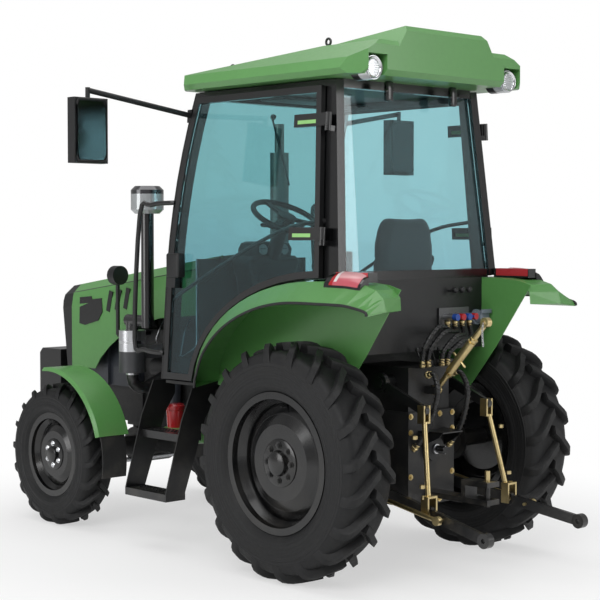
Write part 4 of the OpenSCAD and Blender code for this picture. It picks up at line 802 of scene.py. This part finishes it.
# axle's x, wheel's y, radius, width, rim's radius, lugs' height, thickness and count
TYRES = {"rear": (0, 665, 580, 300, 345, 40, 44, 20), "front": (2000, 640, 407, 200, 242, 28, 32, 18)}
HUBS = {  # disc's y, hub's profile and steps
    "rear": (752, [(-1, 118), (5, 116), (9, 104), (10, 64), (30, 58), (36, 46), (36, 0)], 36),
    "front": (700, [(-1, 92), (4, 90), (7, 78), (8, 48), (22, 44), (27, 32), (27, 0)], 32),
}
STUDS = {  # name, finish, ring's radius, count, height over the disc, size
    "rear": ("bolts", "black_paint", 86, 8, 9, 1.15),
    "front": ("nuts", "chrome", 62, 6, 7, 0.95),
}
VALVES = {"rear": (700, 283), "front": (664, 196)}  # y, distance from the axle
for side, sign in SIDES:
    out = (0, sign, 0)
    for end, (x, _, r, *_) in TYRES.items():
        body = f"{end}_wheel_{side}"
        wheel(end, side, sign, *TYRES[end])
        disc, profile, steps = HUBS[end]
        hub = Piece(f"{end}_{side}_hub", "rim_black")
        hub.turned((x, sign * disc, r), out, profile, steps)
        if end == "rear":
            hub.turned((x, sign * (disc - 30), r), out, [(0, 238), (8, 236), (8, 226), (0, 224)], 60, True)
        hub.done(body)
        name, finish, ring, count, height, size = STUDS[end]
        places = [(x + ring * math.sin(t), sign * (disc + height), r + ring * math.cos(t)) for t in turns(count)]
        bolts(f"{end}_{side}_hub_{name}", finish, body, [(p, out, size) for p in places])
        y, q = VALVES[end]
        build(f"{end}_{side}_valve", "rubber", body, rod=[
            ((x, sign * y, r + q), (x, sign * (y + 34), r + q - 10), 5),
            ((x, sign * (y + 33), r + q - 9.5), (x, sign * (y + 46), r + q - 14), 3.6),
        ])


# --- seat

CLOTH_STEPS, SMOOTHINGS = 20, 14
SEAM = 0.006  # depth and half the width of a sewn seam


def swell(name, rings, cap, seams, replaces):
    """Cushion blown up by the cloth solver from a slightly smaller form, then sewn along its seams."""
    form = Piece(name, "seat_cover")
    form.loft(rings)
    pad = placed(name + "_form", form.skinned(name + "_form"))
    remesh = pad.modifiers.new("remesh", "REMESH")
    remesh.mode, remesh.voxel_size = "VOXEL", 0.006
    pad.data = frozen(pad)
    pad.modifiers.clear()
    rest = [v.co.copy() for v in pad.data.vertices]
    cloth = pad.modifiers.new("cloth", "CLOTH")
    cloth.settings.use_pressure = True
    cloth.settings.uniform_pressure_force = 4.0
    cloth.settings.effector_weights.gravity = 0.0
    cloth.point_cache.frame_start, cloth.point_cache.frame_end = 1, CLOTH_STEPS
    for step in range(1, CLOTH_STEPS + 1):
        scene.frame_set(step)
    moved = [v.co.copy() for v in frozen(pad).vertices]
    pad.modifiers.clear()
    scene.frame_set(1)
    for vert, a, b in zip(pad.data.vertices, rest, moved):
        push = b - a
        vert.co = a + push * min(1.0, cap / max(push.length, 1e-9))
    soft = bmesh.new()
    soft.from_mesh(pad.data)
    for _ in range(SMOOTHINGS):
        bmesh.ops.smooth_vert(
            soft, verts=soft.verts, factor=0.5, use_axis_x=True, use_axis_y=True, use_axis_z=True
        )
    soft.to_mesh(pad.data)
    soft.free()
    fine = pad.modifiers.new("fine", "SUBSURF")
    fine.levels = 1
    mesh = frozen(pad)
    mesh.name = name
    bpy.data.objects.remove(pad)
    for vert, normal in zip(mesh.vertices, [n.vector.copy() for n in mesh.vertex_normals]):
        depth = sum(SEAM * math.exp(-((vert.co[axis] - place) / SEAM) ** 2) for axis, place in seams)
        vert.co = vert.co - normal * depth * max(0.0, normal[0 if "back" in name else 2])
    piece = settle(name, mesh, "seat_cover", "chassis", replaces, 70)


BASE = ((1350, 26), (1358, 12), (1385, 6), (1406, 12), (1416, 28))  # height, inset
BACK = (  # height, inset, half the width
    (1412, 30, 196), (1424, 12, 204), (1480, 6, 210), (1620, 6, 208), (1700, 8, 192), (1745, 14, 168), (1768, 30, 140),
)
rings = [round_box(-22 + d, 398 - d, -216 + d, 216 - d, z, 60 - d / 2) for z, d in BASE]
swell("seat_cushion", rings, 0.024, [(1, -0.128), (1, 0.128), (0, 0.215 - MID_X)], "seat")
rings = []
for z, d, w in BACK:
    lean = (z - 1412) * 0.02
    rings.append(round_box(-136 + d / 3 - lean, -62 - d / 3 - lean, -w, w, z, 34 - d / 2))
swell("seat_back", rings, 0.012, [(1, -0.122), (1, 0.122), (2, 1.56)], "seat")
build("seat_piping", "trim_black", hoop=[(round_box(-25, 401, -219, 219, z, 60, 7), 4.5) for z in (1396, 1366)])
folds = [(z, 0 if k % 2 else -16) for k, z in enumerate(range(1150, 1331, 15))]
build("seat_post", "trim_black", replaces="seat", slab=[
    (-70, 330, -190, 190, 34, ((1330, 12), (1336, 4), (1348, 4), (1352, 14))),
    (20, 240, -140, 140, 40, [(1112, -22), (1146, -22)] + folds),
    (-96, -58, -70, 70, 12, ((1340, 0), (1420, 0))),
])

# --- cab inside

DASH = (  # height, back, front, half the width
    (906, 880, 1030, 118), (1000, 884, 1030, 112), (1250, 880, 1032, 120), (1420, 862, 1034, 150),
    (1500, 850, 1034, 180), (1540, 848, 1032, 184), (1560, 866, 1026, 172),
)
COVE = ((1556, 880, 1022, 150), (1600, 872, 1016, 152), (1630, 884, 1006, 142), (1640, 902, 992, 120))
column = Vector((0.469, 0, -0.883))
head = Vector((775, 0, 1762))
stalk = head + column * 70
dash = Piece("dash_console", "trim_black")
for rows, corner in ((DASH, 34), (COVE, 30)):
    dash.loft([round_box(x0, x1, -w, w, z, corner) for z, x0, x1, w in rows])
dash.turned(head, column, [(0, 20), (6, 30), (60, 36), (150, 38), (250, 44), (330, 60)], 24)
for s in BOTH:
    dash.tube([stalk, stalk + Vector((-8, s * 70, 14)), stalk + Vector((-10, s * 130, 26))], 6)
    dash.turned(stalk + Vector((-10, s * 122, 24)), (0, s, 0.2), [(0, 6), (6, 10), (34, 11), (40, 6)], 16)
dash.done(replaces="dashboard")
build("dash_gauges", "gauge", turned=[
    ((873, y, z), (-1, 0, 0.12), [(-4, r + 4), (3, r + 4), (4, r), (1, r - 4), (1, 0)], 28)
    for y, z, r in ((0, 1600, 34), (78, 1596, 26), (-78, 1596, 26))
])
build("side_consoles", "trim_black", slab=[
    (-130, 400, s * 300, s * 452, 34, ((1108, 0), (1330, 0), (1372, 8), (1386, 30))) for s in BOTH
])
LEVERS = (  # foot's x and y, lean, height
    (40, -350, -14, 150), (110, -350, 10, 165), (180, -350, 22, 150),
    (260, -400, 26, 190), (130, 380, 14, 120), (220, 380, 24, 140),
)
levers = Piece("levers", "trim_black")
for x, y, lean, tall in LEVERS:
    top = (x + lean, y, 1380 + tall)
    levers.rod((x, y, 1378), top, 5)
    levers.turned(top, (lean / tall, 0, 1), [(-16, 8), (0, 13), (18, 17), (32, 14), (40, 4)], 18)
    levers.turned((x, y, 1376), UP, [(0, 24), (6, 24), (14, 14), (22, 8)], 18)
levers.done()
pedals = Piece("pedals", "black_paint")
for y, w in ((165, 42), (-160, 30), (-225, 34)):
    pedals.tube([(985, y, 1090), (930, y, 1070), (880, y, 1000), (872, y, 985)], 8)
    pedals.block((838, y - w, 976), (868, y + w, 988), 4, Matrix.Rotation(math.radians(-34), 3, "Y"))
pedals.done()
spots = [((x, 0, 908), UP, LEFT) for x in range(470, 840, 26)]
ribs("floor_mat", "rubber", "chassis", spots, length=0.72, width=0.012, height=0.006)
build("headliner", "trim_black", slab=[(-110, 800, -500, 500, 60, ((2412, 30), (2418, 8), (2431, 0)))],
      block=[((560, -200, 2392), (760, 200, 2414), 10)])
build("cab_lamp", "gauge", slab=[(300, 420, -50, 50, 18, ((2402, 12), (2406, 2), (2413, 0)))])

# --- cab outside


def octagon(x, y, z, half_y, half_z, cut_y, cut_z):
    """Upright rectangle with cut corners; the cuts are given as shares of its halves."""
    corners = ((-1, -cut_z), (-cut_y, -1), (cut_y, -1), (1, -cut_z), (1, cut_z), (cut_y, 1), (-cut_y, 1), (-1, cut_z))
    return [(x, y + half_y * u, z + half_z * v) for u, v in corners]


DOOR_BAR = (
    (1004, 604, 1330), (930, 588, 1380), (560, 562, 1560), (200, 552, 1700), (-50, 556, 1742), (-118, 570, 1746),
)
MIRROR_Y, MIRROR_Z = 1150, 2205
LAMP_Y, LAMP_Z, LAMP_R, LAMP_BAR = 496, 2464, 40, 11
for side, s in SIDES:
    build(f"door_bar_{side}", "black_paint", f"door_{side}", tube=[([(x, s * y, z) for x, y, z in DOOR_BAR], 10)])
    build(f"door_latch_{side}", "trim_black", f"door_{side}",
          block=[((905, s * 600, 1450), (1010, s * 655, 1580), 12)])
    build(f"mirror_glass_{side}", "mirror_face",
          loft=[([octagon(x, s * MIRROR_Y, MIRROR_Z, 86, 148, 0.8, 0.8) for x in (975, 982)],)])
    build(f"mirror_bezel_{side}", "trim_black", hoop=[(octagon(979, s * MIRROR_Y, MIRROR_Z, 93, 156, 0.9, 0.86), 9)])
    lens = Piece(f"work_lamp_rim_{side}", "chrome")
    rim = [(0, 46), (6, 52), (10, 50), (8, 44), (2, 40), (0, 42)]
    lens.turned((-372, s * LAMP_Y, LAMP_Z), BACKWARD, rim, 32, True)
    for k in range(-3, 4):
        reach, z = math.sqrt(LAMP_R**2 - (k * LAMP_BAR) ** 2), LAMP_Z + k * LAMP_BAR
        lens.block((-375, s * LAMP_Y - reach, z - 1.5), (-370, s * LAMP_Y + reach, z + 1.5), 1)
    lens.done()
    build(f"rear_window_hinge_{side}", "frame_black",
          block=[((-238, s * 236 - 22, 2330), (-208, s * 236 + 22, 2428), 9)],
          turned=[((-226, s * 236 - 26, 2380), LEFT, [(0, 8), (2, 11), (50, 11), (52, 8)], 18)])
build("wiper", "trim_black",
      turned=[(on_screen(-45, 2330, -4), (1, 0, 0.2), [(0, 16), (16, 15), (22, 8)], 18)],
      tube=[([on_screen(-45, 2330, 14), on_screen(-120, 2210, 16), on_screen(-190, 2080, 12)], 6),
            ([on_screen(-110, 2235, 7), on_screen(-180, 2100, 7), on_screen(-250, 1960, 7)], 6)])


# --- back: hoses, hitch and power take-off


def wrapped_hose(name, path, radius):
    """Rubber hose with a slanted guard wound round it and plated ferrules at both ends."""
    build(name, "hose", tube=[(path, radius, 12)])
    run = smooth(path)
    lines = [(i, i + 1) for i in range(len(run) - 1)]
    grow(name + "_guard", WRAP, "hose", "chassis", [at(*p) for p in run], lines=lines,
         radius=radius / 1000 + 0.0016, wire=0.0032, pitch=0.0115)
    steps = ((-6, 0), (-4, 2), (0, 2), (2, 5), (12, 5), (14, 2), (34, 2), (36, 0))
    ferrule = [(along, radius + more) for along, more in steps]
    build(name + "_ferrules", "zinc", turned=[
        (tip, way - tip, ferrule, 12) for tip, way in ((run[0], run[1]), (run[-1], run[-2]))
    ])


LINES = ((-94, -334), (-50, -278), (50, -222), (94, -166))  # y at the valve and at the coupler
LIFT_HOSE = (
    (-352, 92, 985), (-405, 100, 990), (-440, 112, 900), (-400, 124, 760), (-340, 128, 660), (-302, 130, 620),
)
for i, (y0, y1) in enumerate(LINES):
    rise = 60 + 26 * i
    wrapped_hose(f"coupler_hose_{i + 1}", [
        (-322, y0, 1024), (-334, y0, 1060 + rise * 0.4), (-352, y0 * 0.7 + y1 * 0.3, 1080 + rise),
        (-300, y0 * 0.15 + y1 * 0.85, 1120 + rise * 0.6), (-262, y1, 1200), (-256, y1, 1238),
    ], 11)
for side, s in SIDES:
    wrapped_hose(f"lift_hose_{side}", [(x, s * y, z) for x, y, z in LIFT_HOSE], 13)
build(
    "valve_fittings", "zinc",
    turned=[((-322, y0, 1018), UP, [(0, 15), (9, 15), (9, 11), (16, 11)], 6) for y0, _ in LINES]
    + [((-348, s * 92, 985), BACKWARD, [(0, 16), (9, 16), (9, 11), (14, 11)], 6) for s in BOTH]
    + [((-298, s * 130, 620), BACKWARD, [(0, 17), (8, 17), (8, 11), (12, 11)], 6) for s in BOTH],
)
build("valve_block", "cast_black", slab=[(-346, -262, -118, 118, 8, ((1019, 0), (1022, 0)))],
      block=[((-300, y - 44, 1019), (-262, y - 2, 1052), 4) for y in (-122, -72, -22, 28)])
tips = [(y, -262 + 3 * k) for k, y in enumerate((-95, -45, 5, 55))]
build("valve_levers", "black_paint", rod=[((-281, y, 1048), (x, y, 1096), 4.5) for y, x in tips],
      turned=[((x, y, 1096), UP, [(-4, 6), (0, 10), (12, 10), (18, 4)], 14) for y, x in tips])
barrel = [(0, 40), (14, 40), (16, 33), (52, 33), (56, 37), (64, 37), (66, 34)]
build("trailer_socket", "socket_grey", turned=[((-218, -430, 1250), BACKWARD, barrel, 30)],
      block=[((-296, -470, 1270), (-284, -390, 1292), 4)])
KNOBS = (-330, -275, -220)
build("remote_knobs", "trim_black", rod=[((-216, y, 1390), (-250, y, 1394), 5) for y in KNOBS],
      turned=[((-248, y, 1394), (-1, 0, 0.1), [(0, 9), (5, 15), (18, 16), (26, 11), (29, 3)], 18) for y in KNOBS])
CASTING = ((154, 360), (154, 480), (154, 700), (154, 780), (60, 780), (60, 350))
bolts("housing_bolts", "zinc", "chassis", [((-300, s * y, z), BACKWARD, 0.95) for s in BOTH for y, z in CASTING])
PTO_Z, PTO_R = 610, 17
build("pto_shaft", "bright_steel",
      turned=[((-330, 0, PTO_Z), BACKWARD, [(0, 25), (8, 25), (9, PTO_R), (60, PTO_R), (64, 14)], 24)])
ways = [(0, math.sin(t), math.cos(t)) for t in turns(6)]
spots = [((-365, PTO_R * way[1], PTO_Z + PTO_R * way[2]), way, FORWARD) for way in ways]
ribs("pto_splines", "bright_steel", "chassis", spots, length=0.056, width=0.007, height=0.005)
lid = ((-300, -100), (-300, 100), (-440, 74), (-440, -74))
cheeks = [
    [[(-300, s * y, 620), (-300, s * y, 706), (-440, s * (y - 26), 706), (-420, s * (y - 22), 680)] for y in (94, 100)]
    for s in BOTH
]
build("pto_guard", "black_paint",
      loft=[([[(x, y, z) for x, y in lid] for z in (700, 706)],)] + [(cheek,) for cheek in cheeks])
ball = [(0, 24), (2, 27), (32, 27), (34, 24), (34, 18), (0, 18)]
build("link_balls", "zinc", "lower_links", turned=[((-950, s * 354 - 17, 287), LEFT, ball, 28, True) for s in BOTH])
build("rod_pins", "zinc", "lift_rods", turned=[
    ((-560 + (z - 340) * 0.22, s * 322, z), UP, [(0, 9), (2, 14), (18, 14), (20, 9)], 6)
    for s in BOTH for z in (420, 470, 700)
])
pin, eye = Vector((-345, 0, 915)), Vector((-640, 0, 1240))
run = (eye - pin).normalized()
build(
    "top_link_sleeve", "zinc", "top_link",
    turned=[(pin + run * along, run, [(0, 14), (3, 21), (16, 21), (19, 14)], 6) for along in (90, 330)]
    + [(pin + run * 200, run.cross(Vector(LEFT)), [(-52, 4), (-48, 7), (48, 7), (52, 4)], 14)],
)
CHAIN = range(10)
hang = [at(-655 + 4 * math.sin(k * 0.4), 30, 1246 - 11 * k) for k in CHAIN]
marks = {"way": [UP for k in CHAIN], "spin": [(0.0, 0.0, QUARTER * (k % 2)) for k in CHAIN]}
grow("pin_chain", LINKS, "bright_steel", "top_link", hang, marks)

# --- front and sides


def skin_of(node):
    """Search tree over a CAD node's faces."""
    mesh = cad[node].data
    return BVHTree.FromPolygons([v.co for v in mesh.vertices], [p.vertices for p in mesh.polygons])


def lip_of(side, sign):
    """Outer edge of a rear fender: its farthest point in each six degrees about a point over the axle."""
    far = {}
    for v in cad[f"fender_{side}"].data.vertices:
        if sign * v.co.y > 0.770:
            key = round(math.degrees(math.atan2(v.co.z - 0.60, v.co.x + MID_X)) / 6)
            row = (v.co.z + abs(v.co.x + MID_X), in_mm(v.co))
            far[key] = max(far.get(key, row), row, key=lambda row: row[0])
    return [far[k][1] for k in sorted(far)]


WEDGES = (  # name, finish, back and front end, foot over the skin, share of the height, shift outwards
    ("panel", "frame_black", -466, -226, -1, 1.0, 0), ("lens", "tail_lens", -452, -262, 12, 1.12, 2),
)
for side, s in SIDES:
    build(f"fender_bead_{side}", "rubber", tube=[([p + Vector((0, s * 2, -2)) for p in lip_of(side, s)], 7, 8)])
    skin = skin_of(f"fender_{side}")
    for name, finish, far, near, low, tall, shift in WEDGES:
        rings = []
        for k in range(7):
            x = far + (near - far) * k / 6
            end = 0.82 if k in (0, 6) else 1.0
            foot, top = [], []
            for i in range(6):
                y = 622 + 12 * i
                z = skin.ray_cast(at(x, s * y, 1700), Vector((0, 0, -1)))[0].z * 1000
                foot.append((x, s * (y + shift), z + low))
                top.append((x, s * (y + shift - 3), z + (46 - 4.5 * i) * end * tall))
            rings.append(foot + top[::-1])
        build(f"tail_{name}_{side}", finish, loft=[(rings,)])
levels = ((548, 14), (556, 0), (600, 0), (610, 14))
build("side_tank", "green_paint", loft=[([round_box(940 + d, 1306 - d, 222, 470 - d, z, 26) for z, d in levels],)])
build("tank_cup", "signal_cup",
      turned=[((1240, 410, 608), UP, [(0, 44), (96, 50), (100, 55), (122, 55), (132, 46), (136, 0)], 32)])
STUD_PITCH = 0.028
studs = []
mesh = cad["steps"].data
for poly in mesh.polygons:
    if poly.normal.z > 0.95 and poly.area > 0.002:
        xs, ys = ([mesh.vertices[i].co[axis] for i in poly.vertices] for axis in (0, 1))
        for i in range(1, int((max(xs) - min(xs)) / STUD_PITCH)):
            for k in range(1, int((max(ys) - min(ys)) / STUD_PITCH)):
                studs.append((in_mm((min(xs) + i * STUD_PITCH, min(ys) + k * STUD_PITCH, poly.center.z)), UP, 1.0))
bolts("step_studs", "black_paint", "chassis", studs, RIVETS, radius=0.0075)

build("engine_fittings", "cast_black", slab=[(1290, 1760, -95, 95, 26, ((1213, 0), (1246, 0), (1262, 12)))], turned=[
    *[((x, 0, 1260), UP, [(0, 26), (8, 26), (12, 18)], 20) for x in (1360, 1480, 1600, 1720)],
    ((1420, 160, 640), LEFT, [(0, 62), (70, 62), (78, 52), (110, 50), (118, 36)], 28),
    ((1660, 170, 900), FORWARD, [(-70, 46), (-62, 58), (56, 58), (66, 44), (70, 20)], 26),
    ((1320, -166, 760), FORWARD, [(-60, 44), (120, 44), (130, 30), (190, 30)], 24),
    ((1841, 0, 820), FORWARD, [(0, 88), (6, 92), (12, 84), (18, 92), (24, 88)], 36),
    ((1841, 150, 980), FORWARD, [(0, 44), (5, 48), (10, 40), (15, 48), (20, 44)], 26),
])
filters = Piece("filters", "cooler_black")
for x, r, low, high in ((1500, 44, 700, 850), (1610, 40, 660, 800)):
    tall = high - low
    can = [(0, r - 10), (8, r), (tall - 20, r), (tall - 12, r - 5), (tall, r - 5)]
    can += [(tall + 4, r + 4), (tall + 26, r + 4)]
    filters.turned((x, 214, low), UP, can, 28)
    filters.block((x - 26, 160, high + 2), (x + 26, 214, high + 24), 5)
filters.done()
build("fuel_pipes", "bright_steel", tube=[
    ([(1450 + 14 * k, 190, 980), (x, 182, 1040), (x, 160, 1130), (x, 120, 1196)], 4)
    for k, x in enumerate(range(1340, 1695, 118))
])
build("radiator_hose", "hose", tube=[
    ([(1838, 40, 1100), (1880, 60, 1150), (1960, 90, 1180), (2108, 110, 1180)], 24, 14),
    ([(1585, 445, 900), (1585, 440, 840), (1585, 380, 800), (1585, 280, 830), (1585, 168, 880)], 34, 16),
])
build("hose_clamps", "bright_steel", turned=[
    ((1585, 444, 880), UP, [(0, 36), (1, 38), (13, 38), (14, 36)], 30),
    ((1300, -430, 1500), UP, [(0, 57), (2, 60), (22, 60), (24, 57)], 32),
    ((1300, -430, 2060), UP, [(0, 40), (2, 43), (22, 43), (24, 40)], 32),
])
ways = [(math.sin(t), math.cos(t), 0) for t in turns(28)]
spots = [((1440 + 70 * way[0], 445 + 70 * way[1], 1850), way, UP) for way in ways]
ribs("precleaner_fins", "chrome", "chassis", spots, length=0.10, width=0.004, height=0.009)
spots = [((2493, 0, z), FORWARD, LEFT) for z in range(900, 1200, 24)]
ribs("nose_slats", "trim_black", "hood", spots, length=0.50, width=0.010, height=0.012)
spots = [((2761, y, 800), FORWARD, UP) for y in range(-260, 261, 40)]
ribs("weight_ribs", "black_paint", "chassis", spots, length=0.29, width=0.012, height=0.008)

hood_skin = skin_of("hood")


def on_hood(x, z, sign):
    """Place on the hood's side, and the way that it faces."""
    spot, way = hood_skin.ray_cast(at(x, sign * 600, z), Vector((0, -sign, 0)))[:2]
    return in_mm(spot), way if way.y * sign > 0 else -way


LAMP_COVER = (
    (2312, 1296), (2192, 1306), (2180, 1288), (2078, 1298), (2070, 1215), (2112, 1162), (2250, 1130), (2306, 1138),
)
for side, s in SIDES:
    build(f"side_lamp_lens_{side}", "lamp_glass",
          turned=[((1818, s * 400, 1448), FORWARD, [(0, 40), (3, 44), (7, 40), (9, 0)], 28)])
    slots = []
    for x, z in ((2000, 1281), (1915, 1292), (1830, 1303)):
        slant = on_hood(x - 16, z + 60, s)[0] - on_hood(x + 16, z - 60, s)[0]
        slots.append((*on_hood(x, z, s), slant))
    ribs(f"hood_slots_{side}", "trim_black", "hood", slots, length=0.125, width=0.036, height=0.006)
    outline = [on_hood(x, z, s)[0] for x, z in LAMP_COVER]
    build(f"hood_lamp_cover_{side}", "frame_black", "hood",
          loft=[([[p + Vector((0, s * out, 0)) for p in outline] for out in (-2, 5)],)])


# --- stage


def seen(tree, reflected):
    """1 for what the camera sees, itself or through glass, and a share of it in reflections."""
    path = tree.node("ShaderNodeLightPath", {})
    beyond = path.maths("MAXIMUM", path.out("Is Transmission Ray"), path.out("Is Glossy Ray") * reflected)
    return path.maths("MAXIMUM", path.out("Is Camera Ray"), beyond)


def set_stage():
    softbox("key", (-4.5, 6.5, 6.0), (0, 0.2, 1.0), (5.0, 4.0), 300)
    softbox("top", (0.0, 0.0, 7.0), (0, 0, 0), (7.0, 6.0), 250)
    softbox("rear_fill", (-7.5, -3.5, 3.0), (-0.6, 0, 1.0), (4.0, 3.5), 125)
    softbox("front_fill", (2.2, 8.5, 2.5), (0.6, 0, 1.0), (4.0, 3.5), 150)
    world = bpy.data.worlds.new("studio")
    world.use_nodes = True
    scene.world = world
    sky = Tree(world.node_tree)
    back = sky.tree.nodes["Background"]
    sky.feed(back.inputs["Strength"], seen(sky, 0.15) * 0.75 + 0.25)
    sky.feed(back.inputs["Color"], (1.0, 1.0, 1.0))
    mesh = bpy.data.meshes.new("floor")
    half = 40.0
    mesh.from_pydata([(-half, -half, 0), (half, -half, 0), (half, half, 0), (-half, half, 0)], [], [(0, 1, 2, 3)])
    floor = placed("floor", mesh)
    shade = Shade("floor", rough=0.9, **{"Specular IOR Level": 0.1})
    shade.colour(shade.blend(shade.noise(0.8, 3.0), (0.93, 0.93, 0.93), (0.95, 0.95, 0.95)))
    far = shade.node("ShaderNodeVectorMath", {"operation": "LENGTH"}, shade.where())
    white = shade.node("ShaderNodeEmission", {}, (1.0, 1.0, 1.0), 1.0)
    share = seen(shade, 0.3) * (far.clear(1.2, 3.2) * 0.45 + 0.55)
    mixed = shade.node("ShaderNodeMixShader", {}, share, Wire(shade, shade.shader.outputs[0]), white)
    shade.tree.links.new(mixed.socket, shade.tree.nodes["Material Output"].inputs["Surface"])
    mesh.materials.append(shade.material)
    floor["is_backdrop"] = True


set_camera()
set_stage()
scene.view_settings.view_transform = "Standard"
low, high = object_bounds()
